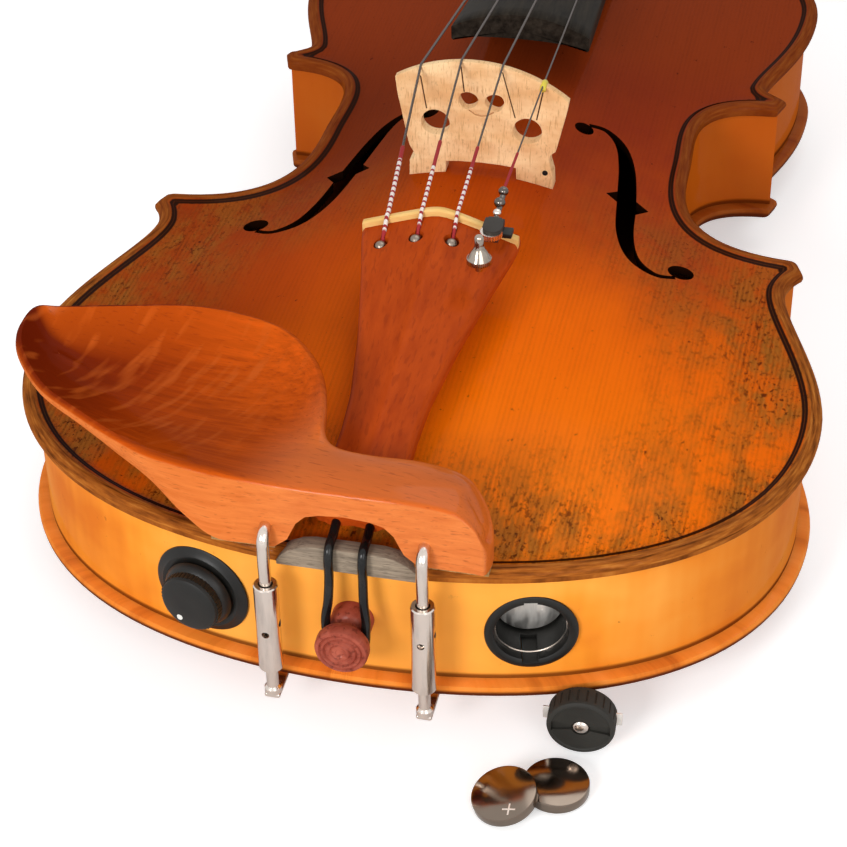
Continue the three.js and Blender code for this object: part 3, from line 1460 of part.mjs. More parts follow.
const contactBack = socketDepth - socketFloor - faceGap;
const contactFaceShare = 0.7;
part('battery_socket', batterySocket(), blackPlastic);
part('battery_contact', turnedOnRib([
  [0, contactBack - contactLift - contactThickness],
  [contactFaceShare * contactRadius, contactBack - contactLift - contactThickness],
  [contactRadius, contactBack - contactThickness],
  [contactRadius, contactBack],
  [0, contactBack],
], 20, socketSeat, controlZ), nickel);

// Output jack on the bass side, out of sight from the end
part('output_jack', turnedOnRib([
  [jackBore, -jackNutDepth],
  [jackThreadRadius, -jackNutDepth],
  [jackThreadRadius, ribThickness + 2 * seatGap],
  [jackBodyRadius, ribThickness + 2 * seatGap],
  [jackBodyRadius, jackLength],
  [0, jackLength],
  [0, jackLength - jackNutDepth],
  [jackBore, jackLength - jackNutDepth],
  [jackBore, -jackNutDepth],
], 16, jackSeat, ribMidZ), nickel);
part('jack_nut', turnedOnRib([
  [jackThreadRadius + faceGap, -seatGap],
  [jackThreadRadius + faceGap, -jackNutDepth],
  [jackNutRadius - jackNutDepth / 2, -jackNutDepth],
  [jackNutRadius, -seatGap],
  [jackThreadRadius + faceGap, -seatGap],
], 16, jackSeat, ribMidZ), nickel);

// Preamplifier board behind the end block, and the leads inside the body
const boardY = blockFace.lower[0].y + endBlockDepth + seatGap;
const boardLowZ = ribMidZ - boardPlateHeight / 2;
part('preamp_board', block(-boardPlateHalf, boardPlateHalf, boardY, boardY + boardPlateThickness,
  boardLowZ, boardLowZ + boardPlateHeight), circuit);

const leadY = boardY + boardPlateThickness + leadRadius + seatGap;
const behind = (seat, depth) => new THREE.Vector3(
  seat.x - Math.sin(seat.turn) * depth,
  seat.y + Math.cos(seat.turn) * depth,
  controlZ,
);
const batteryLeadStart = behind(socketSeat, socketDepth + leadRadius + seatGap);
const leadShares = [1, 0.75, 0.4];
const leadBendShare = { across: 0.4, along: 0.6 };
part('battery_lead', tube([
  batteryLeadStart,
  ...leadShares.map((share) => new THREE.Vector3(share * boardPlateHalf, leadY, boardLowZ + 2 * overrun)),
], leadRadius, 6, 12), blackPlastic);
const jackLeadStart = new THREE.Vector3(
  jackSeat.x - Math.sin(jackSeat.turn) * (jackLength + leadRadius),
  jackSeat.y + Math.cos(jackSeat.turn) * (jackLength + leadRadius),
  ribMidZ,
);
part('jack_lead', tube([
  jackLeadStart,
  new THREE.Vector3(
    mix(jackLeadStart.x, -boardPlateHalf, leadBendShare.across),
    mix(jackLeadStart.y, leadY, leadBendShare.along),
    ribMidZ,
  ),
  ...leadShares.map((share) => new THREE.Vector3(-share * boardPlateHalf, leadY, ribMidZ)),
], leadRadius, 6, 16), blackPlastic);

// Battery cap standing on its rim in front of the edge, with its contact bar and rivet
const capGroup = new THREE.Group();
capGroup.position.set(capX, capY, capRadius);
capGroup.rotation.z = capTurn;
violin.add(capGroup);

function batteryCap() {
  const side = turned([
    [0, 0],
    [capRadius - edgeRound / 2, 0],
    [capRadius, edgeRound / 2],
    [capRadius, capDepth],
    [0, capDepth],
  ], 28);
  const slot = block(-capSlotHalf, capSlotHalf, -overrun, capSlotDepth,
    -capSlotWidth / 2, capSlotWidth / 2);
  const rivetSeat = rodAlongY(capRivetRadius + seatGap, 0, 0, -overrun, capSlotDepth, 12);
  const barSlot = block(-capRadius - overrun, capRadius + overrun, capDepth - 3 * capBarThickness,
    capDepth - capBarThickness, -capBarWidth / 2, capBarWidth / 2);
  return cut(side, slot, rivetSeat, barSlot);
}

part('battery_cap', batteryCap(), blackPlastic, capGroup);
const capBarBackY = capDepth - capBarThickness - capBarClearance;
part('cap_contact_bar', block(-capBarLength / 2, capBarLength / 2, capBarBackY - capBarThickness,
  capBarBackY, -capBarWidth / 2 + seatGap, capBarWidth / 2 - seatGap), nickel, capGroup);
part('cap_rivet', turned([
  [0, seatGap],
  [capRivetFaceRadius, seatGap],
  [capRivetRadius, capSlotDepth / 2],
  [capRivetRadius, capSlotDepth - faceGap],
  [0, capSlotDepth - faceGap],
], 12), nickel, capGroup);

// Coin cells: one flat on the table, one leaning on it
const cellProfile = [
  [0, 0],
  [cellRadius - 2 * cellEdge, 0],
  [cellRadius - cellEdge, cellEdge],
  [cellRadius, cellEdge],
  [cellRadius, cellThickness - cellEdge / 2],
  [cellRadius - cellEdge / 2, cellThickness],
  [0, cellThickness],
];

function coinCell(name, x, y, lift, tilt, turn) {
  const cell = turned(cellProfile, 28).rotateX(Math.PI / 2);
  const mesh = part(name, cell, steel);
  mesh.rotation.set(0, -tilt, turn, 'ZYX');
  mesh.position.set(x, y, lift);
}

coinCell('coin_cell_flat', flatCellX, flatCellY, 0, 0, 0);
coinCell('coin_cell_leaning', leaningCellX, leaningCellY, leaningCellLift, leaningCellTilt, leaningCellTurn);

export default violin;
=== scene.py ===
import math

import bpy
import numpy as np
from mathutils import Matrix, Vector
from mathutils.geometry import interpolate_bezier


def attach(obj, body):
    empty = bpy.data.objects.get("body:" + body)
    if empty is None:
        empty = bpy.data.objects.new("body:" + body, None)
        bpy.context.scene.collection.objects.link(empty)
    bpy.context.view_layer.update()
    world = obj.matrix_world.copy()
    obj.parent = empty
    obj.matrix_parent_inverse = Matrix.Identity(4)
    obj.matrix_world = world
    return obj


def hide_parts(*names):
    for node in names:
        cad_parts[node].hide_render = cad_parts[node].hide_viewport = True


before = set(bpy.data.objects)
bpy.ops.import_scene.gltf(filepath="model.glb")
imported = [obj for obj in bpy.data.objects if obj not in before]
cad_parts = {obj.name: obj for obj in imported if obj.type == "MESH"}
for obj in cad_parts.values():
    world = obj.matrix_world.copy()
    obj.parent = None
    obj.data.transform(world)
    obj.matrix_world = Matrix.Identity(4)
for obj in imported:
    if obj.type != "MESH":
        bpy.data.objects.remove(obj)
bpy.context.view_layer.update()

# Sizes in millimetres, measured from the bottom edge of the body and from the table

REST_Y = 178
TO_FRAME = Matrix.Diagonal((0.001, 0.001, 0.001, 1)) @ Matrix.Translation((0, -REST_Y, 0))

BODY_LENGTH = 355.5
LOWER_HALF, LOWER_Y = 104, 76
WAIST_HALF, WAIST_Y = 55.5, 192
UPPER_HALF, UPPER_Y = 84, 293
LOWER_CORNER = (92, 145.5)
UPPER_CORNER = (78.4, 233.5)

BACK_GLUE = 15
TOP_GLUE = 48
EDGE = 4
CHANNEL = 2.8
CHANNEL_INSET = 6.5
ROUNDING = 2.2
TOP_ARCH = 15.5
BACK_ARCH = 15.5
TOP_THICK = 3
BACK_THICK = 3.8
RIM = 8
OVERHANG = 3.4
RIB = 1.2
HEEL_Y = 300
HEEL_HALF = 16.7
HEEL_BUTTON_RADIUS = 11

BRIDGE_Y = 159
STRING_RADII = {"g": 0.45, "d": 0.4, "a": 0.38, "e": 0.3}


# Building helpers

def only(obj):
    """Select and activate one object alone."""
    if bpy.context.object and bpy.context.object.mode != "OBJECT":
        bpy.ops.object.mode_set(mode="OBJECT")
    bpy.ops.object.select_all(action="DESELECT")
    obj.select_set(True)
    bpy.context.view_layer.objects.active = obj
    return obj


def modify(obj, kind, **settings):
    """Add one modifier with its settings and apply it."""
    only(obj)
    made = obj.modifiers.new(kind.title(), kind)
    for name, value in settings.items():
        setattr(made, name, value)
    bpy.ops.object.modifier_apply(modifier=made.name)
    return obj


def carve(obj, *cutters, operation="DIFFERENCE"):
    """Cut tools out of a piece one after another, or merge them with it."""
    for cutter in cutters:
        modify(obj, "BOOLEAN", object=cutter, operation=operation, solver="EXACT")
        bpy.data.objects.remove(cutter, do_unlink=True)
    return obj


def tidy_mesh(obj, gap=0.001):
    """Merge corners that meet and turn the faces outwards."""
    only(obj)
    bpy.ops.object.mode_set(mode="EDIT")
    bpy.ops.mesh.select_mode(type="VERT")
    bpy.ops.mesh.select_all(action="SELECT")
    bpy.ops.mesh.remove_doubles(threshold=gap)
    bpy.ops.mesh.normals_make_consistent(inside=False)
    bpy.ops.object.mode_set(mode="OBJECT")
    return obj


def settle(obj, name, material, stands_for=None, body="violin", smooth=35):
    """Bring a finished piece into the frame, give it its material and its body."""
    only(obj)
    obj.data.transform(TO_FRAME)
    obj.name = name
    obj.data.name = name
    bpy.ops.object.shade_smooth_by_angle(angle=math.radians(smooth))
    obj.data.materials.clear()
    obj.data.materials.append(material)
    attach(obj, body)
    if stands_for:
        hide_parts(stands_for)


def surface(name, corners, faces, uvs=None):
    """A mesh from rows of corners; used for arched and carved surfaces that no operator forms."""
    mesh = bpy.data.meshes.new(name)
    mesh.from_pydata([tuple(c) for c in corners], [], faces)
    if uvs is not None:
        layer = mesh.uv_layers.new(name="inlay")
        loops = np.empty(len(mesh.loops), int)
        mesh.loops.foreach_get("vertex_index", loops)
        layer.data.foreach_set("uv", np.asarray(uvs, float)[loops].ravel())
    obj = bpy.data.objects.new(name, mesh)
    bpy.context.collection.objects.link(obj)
    return obj


def lofted(name, rings, capped=True, uvs=None):
    """Rings of equal count joined in order; a cap is a fan onto the ring's middle."""
    count = len(rings[0])
    corners = [c for ring in rings for c in ring]
    faces = []
    for k in range(len(rings) - 1):
        for i in range(count):
            j = (i + 1) % count
            a, b = k * count + i, k * count + j
            faces.append((a, b, b + count, a + count))
    if capped:
        for base in (0, (len(rings) - 1) * count):
            hub = len(corners)
            corners.append(tuple(np.mean(corners[base:base + count], axis=0)))
            faces += [(base + i, base + (i + 1) % count, hub) for i in range(count)]
    return tidy_mesh(surface(name, corners, faces, uvs))


def added(primitive, scale=(1, 1, 1), **settings):
    """Add a primitive with nothing else selected, its place and size in its mesh."""
    bpy.ops.object.select_all(action="DESELECT")
    primitive(**settings)
    obj = only(bpy.context.object)
    obj.scale = scale
    bpy.ops.object.transform_apply(location=True, rotation=True, scale=True)
    return obj


def block(low, high, bevel=0.0, segments=2):
    """A box between two corners with rounded edges."""
    low, high = Vector(low), Vector(high)
    obj = added(bpy.ops.mesh.primitive_cube_add, high - low, size=1, location=(low + high) / 2)
    if bevel:
        modify(obj, "BEVEL", width=bevel, segments=segments, limit_method="ANGLE")
    return obj


def rod(radius, start, end, sides=24):
    """A round bar between two points."""
    start, end = Vector(start), Vector(end)
    along = end - start
    return added(bpy.ops.mesh.primitive_cylinder_add, vertices=sides, radius=radius,
                 depth=along.length, location=(start + end) / 2,
                 rotation=along.to_track_quat("Z", "Y").to_euler())


def ball(radius, place=(0, 0, 0), segments=24, rings=14):
    """A sphere; fewer segments for the small ones."""
    return added(bpy.ops.mesh.primitive_uv_sphere_add, radius=radius, segments=segments,
                 ring_count=rings, location=place)


def turned(profile, sides=64, capped=True):
    """A circle drawn out along Z through radii and heights, as on a lathe."""
    (radius, height), *rest = profile
    obj = added(bpy.ops.mesh.primitive_circle_add, vertices=sides, radius=radius,
                location=(0, 0, height), fill_type="NGON" if capped else "NOTHING")
    bpy.ops.object.mode_set(mode="EDIT")
    bpy.ops.mesh.select_mode(type="EDGE")
    bpy.ops.mesh.select_all(action="SELECT")
    if capped:
        bpy.ops.mesh.select_mode(type="FACE")
    for next_radius, next_height in rest:
        bpy.ops.mesh.extrude_region_move(
            TRANSFORM_OT_translate={"value": (0, 0, next_height - height)})
        share = next_radius / radius
        bpy.ops.transform.resize(value=(share, share, 1), center_override=(0, 0, next_height))
        radius, height = next_radius, next_height
    bpy.ops.mesh.select_all(action="SELECT")
    bpy.ops.mesh.normals_make_consistent(inside=False)
    bpy.ops.object.mode_set(mode="OBJECT")
    return obj


def shift(x, y, z):
    return Matrix.Translation((x, y, z))


def rotation(degrees, axis):
    return Matrix.Rotation(math.radians(degrees), 4, axis)


# Turns a piece made along Z to face beyond the lower end of the violin
OUTWARD = rotation(90, "X")


def placed(obj, matrix):
    """Move the mesh itself, so that the object stays at the origin."""
    obj.data.transform(matrix)
    obj.data.update()
    return obj


def add_spline(curve, points, smooth=False, closed=False, radii=None):
    """One run of points on a curve; radii thicken the wire round them."""
    spline = curve.splines.new("BEZIER" if smooth else "POLY")
    knots = spline.bezier_points if smooth else spline.points
    knots.add(len(points) - 1)
    for knot, point, radius in zip(knots, points, radii or [1] * len(points)):
        if smooth:
            knot.co = point
            knot.handle_left_type = knot.handle_right_type = "AUTO"
        else:
            knot.co = (*point, 1)
        knot.radius = radius
    spline.use_cyclic_u = closed


def meshed(curve):
    """The mesh that a curve makes."""
    obj = bpy.data.objects.new(curve.name, curve)
    bpy.context.collection.objects.link(obj)
    only(obj)
    bpy.ops.object.convert(target="MESH")
    return only(bpy.context.object)


def drawn(points, radius, sides=6, smooth=True, radii=None):
    """A round wire along points."""
    curve = bpy.data.curves.new("wire", "CURVE")
    curve.dimensions = "3D"
    curve.bevel_depth = radius
    curve.bevel_resolution = sides
    curve.use_fill_caps = True
    curve.resolution_u = 8
    add_spline(curve, points, smooth, radii=radii)
    return meshed(curve)


def sawn(outlines, depth, bevel=0.0):
    """A flat shape cut out of a board: the first outline, less the others, on the XY plane."""
    curve = bpy.data.curves.new("board", "CURVE")
    curve.dimensions = "2D"
    curve.fill_mode = "BOTH"
    curve.extrude = depth / 2 - bevel
    curve.bevel_depth = bevel
    curve.bevel_resolution = 1
    curve.offset = -bevel
    for outline in outlines:
        add_spline(curve, [(x, y, 0) for x, y in outline], closed=True)
    return tidy_mesh(meshed(curve))


def joined(*objs):
    """Several pieces as one mesh, without merging their surfaces."""
    only(objs[0])
    for obj in objs[1:]:
        obj.select_set(True)
    bpy.ops.object.join()
    return only(bpy.context.object)


def round_points(radius, angles, x=0.0, y=0.0):
    return [(x + radius * math.cos(a), y + radius * math.sin(a)) for a in angles]


def circle(radius, sides, x=0.0, y=0.0):
    return round_points(radius, (2 * math.pi * i / sides for i in range(sides)), x, y)


def knurled(radius, depth, teeth, low, high):
    """A toothed ring between two heights."""
    outline = []
    for i in range(teeth):
        for part, reach in ((0, radius - depth), (0.3, radius), (0.7, radius)):
            outline += round_points(reach, [2 * math.pi * (i + part) / teeth])
    return placed(sawn([outline], high - low), shift(0, 0, (low + high) / 2))


def mirrored(points):
    """The same points on the other side of the middle, in reverse order."""
    return [(-x, z) for x, z in reversed(points)]


def spline_through(points, steps, closed=False):
    """Points along a smooth curve through the given rows of numbers."""
    rows = np.asarray(points, float)
    count = len(rows)
    out = []
    for i in range(count if closed else count - 1):
        places = [i + k for k in (-1, 0, 1, 2)]
        if closed:
            a, b, c, d = (rows[k % count] for k in places)
        else:
            a, b, c, d = (rows[min(max(k, 0), count - 1)] for k in places)
        for k in range(steps):
            t = k / steps
            out.append(0.5 * (2 * b + (c - a) * t + (2 * a - 5 * b + 4 * c - d) * t ** 2
                              + (3 * b - a - 3 * c + d) * t ** 3))
    if not closed:
        out.append(rows[-1])
    return np.array(out)


# Material helpers

def colour(shade):
    """An sRGB hex value, or a plain number for a grey, as linear colour."""
    if not isinstance(shade, str):
        return (shade, shade, shade, 1.0)
    parts = [int(shade[i:i + 2], 16) / 255 for i in (0, 2, 4)]
    return (*(p / 12.92 if p <= 0.04045 else ((p + 0.055) / 1.055) ** 2.4 for p in parts), 1.0)


def node(tree, kind, inputs=None, out=0, stops=(), **settings):
    """Add a shader node with its settings, inputs and ramp stops, and give back one of its outputs."""
    made = tree.nodes.new("ShaderNode" + kind)
    for name, value in settings.items():
        setattr(made, name, value)
    plug(tree, made, inputs or {})
    for i, (place, shade) in enumerate(stops):
        stop = made.color_ramp.elements[i] if i < 2 else made.color_ramp.elements.new(place)
        stop.position = place
        stop.color = colour(shade)
    return made.outputs[out]


def plug(tree, made, inputs):
    """Link or set the inputs of a node; a hex value is taken as a colour."""
    for name, value in inputs.items():
        socket = made.inputs[name]
        if isinstance(value, bpy.types.NodeSocket):
            tree.links.new(value, socket)
        else:
            socket.default_value = colour(value) if isinstance(value, str) else value


def new_material(name):
    material = bpy.data.materials.new(name)
    material.use_nodes = True
    return material, material.node_tree


def finish(material, base, wear, roughness, relief, gloss):
    """Give a material its colour, a roughness that wanders with its wear, its relief and its gloss."""
    tree = material.node_tree
    smooth, dull = roughness
    shine = node(tree, "ValToRGB", {"Fac": wear}, stops=((0.3, smooth), (0.7, dull)))
    plug(tree, tree.nodes["Principled BSDF"],
         {"Base Color": base, "Roughness": shine, "Normal": node(tree, "Bump", relief), **gloss})
    return material


def pattern(tree, size, detail=3.0, rough=0.6, turn=0.0, warp=0.0):
    """Cloudy noise with patches of the given sizes in millimetres, on the piece's own coordinates."""
    place = node(tree, "Mapping", {"Vector": node(tree, "TexCoord", out="Object"),
                                   "Scale": tuple(s / 1000 for s in size),
                                   "Rotation": (0, 0, math.radians(turn))}, vector_type="TEXTURE")
    return node(tree, "TexNoise", {"Vector": place, "Scale": 1.0, "Detail": detail,
                                   "Roughness": rough, "Distortion": warp})


def wave_scale(spacing):
    """The scale of a wave pattern whose bands lie so many millimetres apart."""
    bands_per_metre_at_scale_1 = 20 / (2 * math.pi)
    return 1000 / spacing / bands_per_metre_at_scale_1


def inlay_pattern(tree, size, detail=3.0):
    """The same noise laid along the edge of a plate or the length of a rib."""
    place = node(tree, "Mapping", {"Vector": node(tree, "UVMap", uv_map="inlay"),
                                   "Scale": (*size, 1.0)}, vector_type="TEXTURE")
    return node(tree, "TexNoise", {"Vector": place, "Scale": 1.0, "Detail": detail, "Roughness": 0.6})


def spots(tree, low, high, *noise):
    """A mask of cloudy noise; it goes from one value to another between two levels."""
    return node(tree, "ValToRGB", {"Fac": pattern(tree, *noise)}, stops=(low, high))


def fade(tree, source, axis, start, end):
    """A mask that goes from 0 to 1 between two values of a coordinate, an inlay place or the normal."""
    vectors = {"place": ("TexCoord", "Object", {}), "inlay": ("UVMap", 0, {"uv_map": "inlay"}),
               "normal": ("NewGeometry", "Normal", {})}
    kind, out, settings = vectors[source]
    value = node(tree, "SeparateXYZ", {"Vector": node(tree, kind, out=out, **settings)}, axis)
    return node(tree, "MapRange", {"Value": value, "From Min": start, "From Max": end})


def near(tree, spot, inner, outer):
    """A soft mask round a spot of the violin, in metres: 1 within the inner, 0 beyond the outer radius."""
    away = node(tree, "VectorMath", {0: node(tree, "TexCoord", out="Object"), 1: spot}, "Value",
                operation="DISTANCE")
    return node(tree, "MapRange", {"Value": away, "From Min": outer, "From Max": inner},
                interpolation_type="SMOOTHSTEP")


def laid_over(tree, base, shade, share, *masks):
    """Lay a colour over another where all the masks meet; a mask may be a plain strength."""
    for mask in masks:
        share = node(tree, "Math", {0: share, 1: mask}, operation="MULTIPLY")
    return node(tree, "Mix", {0: share, 6: base, 7: shade}, 2, data_type="RGBA")


def rimmed(tree, base, wood):
    """The rubbed rim of a plate and the dark lines of its purfling, by the distance from the edge."""
    rim, purfling = 3, (3.6, 5.4)
    rubbed = node(tree, "ValToRGB", {"Fac": inlay_pattern(tree, (0.8, 11), 4)}, stops=wood)
    rubbed = laid_over(tree, rubbed, "742C0A", fade(tree, "place", "Y", -0.08, -0.01), 0.72)
    worn = laid_over(tree, base, rubbed, fade(tree, "inlay", "X", rim + 0.8, rim))
    lines = node(tree, "ValToRGB", {"Fac": fade(tree, "inlay", "X", *purfling)}, stops=(
        (0.0, 0.0), (1.0, 0.0), (0.15, 1.0), (0.4, 1.0), (0.47, 0.88), (0.53, 0.88), (0.6, 1.0),
        (0.85, 1.0)))
    return laid_over(tree, worn, "2A1206", lines)


# Body outline, drawn from the same widths and heights as the solids

LOWER_WIDE = ((0, 0), (0.65, 0), (1, 0.41), (1, 1), (1, 1.3))
LOWER_TIP = ((0.958, 0.845), (0.971, 0.921), (0.98, 0.949), (0.997, 0.969), (1.013, 0.98))
WAIST_START = ((0.987, 1.02), (0.62, 1.03))
WAIST = ((1, 0.906), (1, 1), (1, 1.094))
WAIST_END = ((0.63, 0.985), (0.987, 0.987))
UPPER_TIP = ((1.013, 1.013), (0.975, 1.021), (0.918, 1.028), (0.931, 1.041), (0.957, 1.088))
UPPER_WIDE = ((1, 0.9126), (1, 1), (1, 1.104))
UPPER_END = ((0.524, 1), (0, 1))


def at(width, height, shares):
    """Points given as shares of a width and a height."""
    return [Vector((x * width, y * height)) for x, y in shares]


def bezier_run(points, counts):
    """A run of joined curves, each with its own count of steps."""
    run = [points[0]]
    for i, count in enumerate(counts):
        run += interpolate_bezier(*points[3 * i:3 * i + 4], count + 1)[1:]
    return run


lower_bout = bezier_run(at(LOWER_HALF, LOWER_Y, LOWER_WIDE) + at(*LOWER_CORNER, LOWER_TIP), (36, 18, 8))
waist_bout = bezier_run(at(*LOWER_CORNER, WAIST_START) + at(WAIST_HALF, WAIST_Y, WAIST)
                        + at(*UPPER_CORNER, WAIST_END), (24, 24))
upper_bout = bezier_run(at(*UPPER_CORNER, UPPER_TIP) + at(UPPER_HALF, UPPER_Y, UPPER_WIDE)
                        + at(UPPER_HALF, BODY_LENGTH, UPPER_END), (8, 18, 32))
# The stretch of the centre line that each bout's arching runs to, as shares of the body's length
SPINE = {"lower": (0.169, 0.315), "waist": (0.332, 0.737), "upper": (0.754, 0.85)}
TIP_STEPS = 4


def half_edge():
    """Rows of x, y and the height of the centre line point that the arching runs to."""
    rows = []
    for run, (low, high) in zip((lower_bout, waist_bout, upper_bout), SPINE.values()):
        if rows:
            last, first = Vector(rows[-1][:2]), run[0]
            gap = low * BODY_LENGTH - rows[-1][2]
            for k in range(1, TIP_STEPS):
                point = last.lerp(first, k / TIP_STEPS)
                rows.append((point.x, point.y, rows[-1][2] + gap / TIP_STEPS))
        for i, point in enumerate(run):
            share = low + (high - low) * i / (len(run) - 1)
            rows.append((point.x, point.y, share * BODY_LENGTH))
    return np.array(rows)


def full_edge(half):
    """The half outline with its mirror image, as one closed loop."""
    other = half[-2:0:-1].copy()
    other[:, 0] *= -1
    return np.concatenate([half, other])


def button_edge(half):
    """The back's outline, run on into the round button under the heel."""
    reach, middle = HEEL_BUTTON_RADIUS, BODY_LENGTH + 3
    kept = [row for row in half if row[1] < HEEL_Y or row[0] > reach + 3]
    bend = (kept[-1][:2], (reach + 1, BODY_LENGTH - 1), (reach, BODY_LENGTH), (reach, middle))
    fillet = interpolate_bezier(*(Vector((*p, 0)) for p in bend), 8)[1:]
    arc = round_points(reach, np.linspace(0, math.pi / 2, 14)[1:], 0, middle)
    spine = kept[-1][2]
    return np.array(kept + [(p.x, p.y, spine) for p in fillet] + [(x, y, spine) for x, y in arc])


def edge_distance(points, outline):
    """Distance of each point from the closed outline."""
    steps = np.roll(outline, -1, axis=0) - outline
    lengths = (steps ** 2).sum(1) + 1e-12
    best = np.full(len(points), 1e9)
    for start, step, length in zip(outline, steps, lengths):
        away = points - start
        share = np.clip((away @ step) / length, 0, 1)
        best = np.minimum(best, ((away - share[:, None] * step) ** 2).sum(1))
    return np.sqrt(best)


def left_normals(points):
    """Unit vectors to the left of a run of points."""
    along = np.gradient(points, axis=0)
    along /= np.linalg.norm(along, axis=1)[:, None]
    return np.column_stack([-along[:, 1], along[:, 0]])


def lengths_along(points):
    """How far each point is from the start, measured along the run."""
    return np.concatenate([[0], np.cumsum(np.linalg.norm(np.diff(points, axis=0), axis=1))])


def ease(a, b, t):
    return a + (b - a) * (0.5 - 0.5 * np.cos(np.pi * t))


# How squarely the arching ends at the bouts, rises along the body and rises across it
LOBE_POWER, LENGTH_POWER, CROSS_POWER = 2.4, 2.6, 0.7


def arch_half_width(y):
    """Half the width over which the arching rises, at each place along the body."""
    lower, waist, upper = LOWER_HALF - RIM, WAIST_HALF - RIM, UPPER_HALF - RIM

    def lobe(half, reach):
        return half * np.maximum(0, 1 - np.clip(reach, 0, 1) ** LOBE_POWER) ** (1 / LOBE_POWER)

    return np.select(
        [y < LOWER_Y, y < WAIST_Y, y < UPPER_Y],
        [lobe(lower, (LOWER_Y - y) / (LOWER_Y - RIM)),
         ease(lower, waist, (y - LOWER_Y) / (WAIST_Y - LOWER_Y)),
         ease(waist, upper, (y - WAIST_Y) / (UPPER_Y - WAIST_Y))],
        lobe(upper, (y - UPPER_Y) / (BODY_LENGTH - RIM - UPPER_Y)))


def arch_share(x, y):
    """How much of the full arching the plate has at each place."""
    along = np.clip((y - RIM) / (BODY_LENGTH - 2 * RIM), 0, 1)
    across = np.minimum(1, np.abs(x) / np.maximum(arch_half_width(y), 0.05))
    cross = np.maximum(0, 0.5 + 0.5 * np.cos(np.pi * across)) ** CROSS_POWER
    return (1 - np.abs(2 * along - 1) ** LENGTH_POWER) * cross


def outer_height(x, y, distance, arch):
    """Height of the outer face over the glue plane: a rounded edge, a channel, then the arching."""
    curl = ROUNDING - np.sqrt(np.maximum(0, ROUNDING ** 2 - np.maximum(0, ROUNDING - distance) ** 2))
    fall = np.clip((distance - ROUNDING) / (CHANNEL_INSET - ROUNDING), 0, 1)
    edge = EDGE - curl - (EDGE - CHANNEL) * (0.5 - 0.5 * np.cos(np.pi * fall))
    return edge + (arch - CHANNEL) * arch_share(x, y) * fall


def top_z(x, y):
    """Height of the top at a place well inside its edge."""
    inside = 20
    return TOP_GLUE + float(outer_height(*(np.float64(value) for value in (x, y, inside)), TOP_ARCH))


NEAR_EDGE = (0.15, 0.4, 0.8, 1.3, 1.9, 2.5, 3, 3.4, 3.7, 4, 4.3, 4.6, 4.9, 5.2, 5.6, 6.2, 7, 8, 9.5,
             11.5)


def plate(name, half, glue, direction, arch, thickness, on_table=False):
    """An arched plate with its inlay coordinates: distance from the edge and place along it."""
    edge = full_edge(half)
    count = len(edge)
    flat_edge = edge[:, :2]
    spine = np.stack([np.zeros(count), edge[:, 2]], 1)
    away = spine - flat_edge
    length = np.linalg.norm(away, axis=1)[:, None]
    highest = glue if on_table else np.inf

    def ring(inset, share=0.0):
        start = flat_edge + away / length * inset
        return start + (spine - start) * share

    def face(rings, thickness=0.0):
        """The rows of a face and their distance from the edge; the inner face lies a thickness in."""
        flat = np.concatenate(rings)
        distance = edge_distance(flat, flat_edge)
        height = np.minimum(outer_height(flat[:, 0], flat[:, 1], distance, arch), highest)
        if thickness:
            height = np.maximum(0, height - thickness)
        rows = np.column_stack([flat, glue + direction * height])
        return [rows[i:i + count] for i in range(0, len(rows), count)], distance

    shares = 1 - np.linspace(1, 0, 27)[1:] ** 1.15
    outer, distance = face([ring(d) for d in NEAR_EDGE] + [ring(NEAR_EDGE[-1], s) for s in shares])
    inner, _ = face([ring(9, s) for s in (0, 0.08, 0.2, 0.36, 0.55, 0.78, 1)], thickness)
    wall = [np.column_stack([ring(inset), np.full(count, glue + direction * rise)])
            for inset, rise in ((1.4, 0), (0.4, 0.35), (0, 1.2), (0, EDGE - ROUNDING))]
    rings = [*inner[::-1], *wall, *outer]
    depths = np.concatenate([np.full(count * (len(inner) + len(wall)), -1.0), distance])
    places = np.tile(lengths_along(flat_edge), len(rings))
    return lofted(name, rings, capped=False, uvs=np.column_stack([depths, places]))


# Woods and varnishes

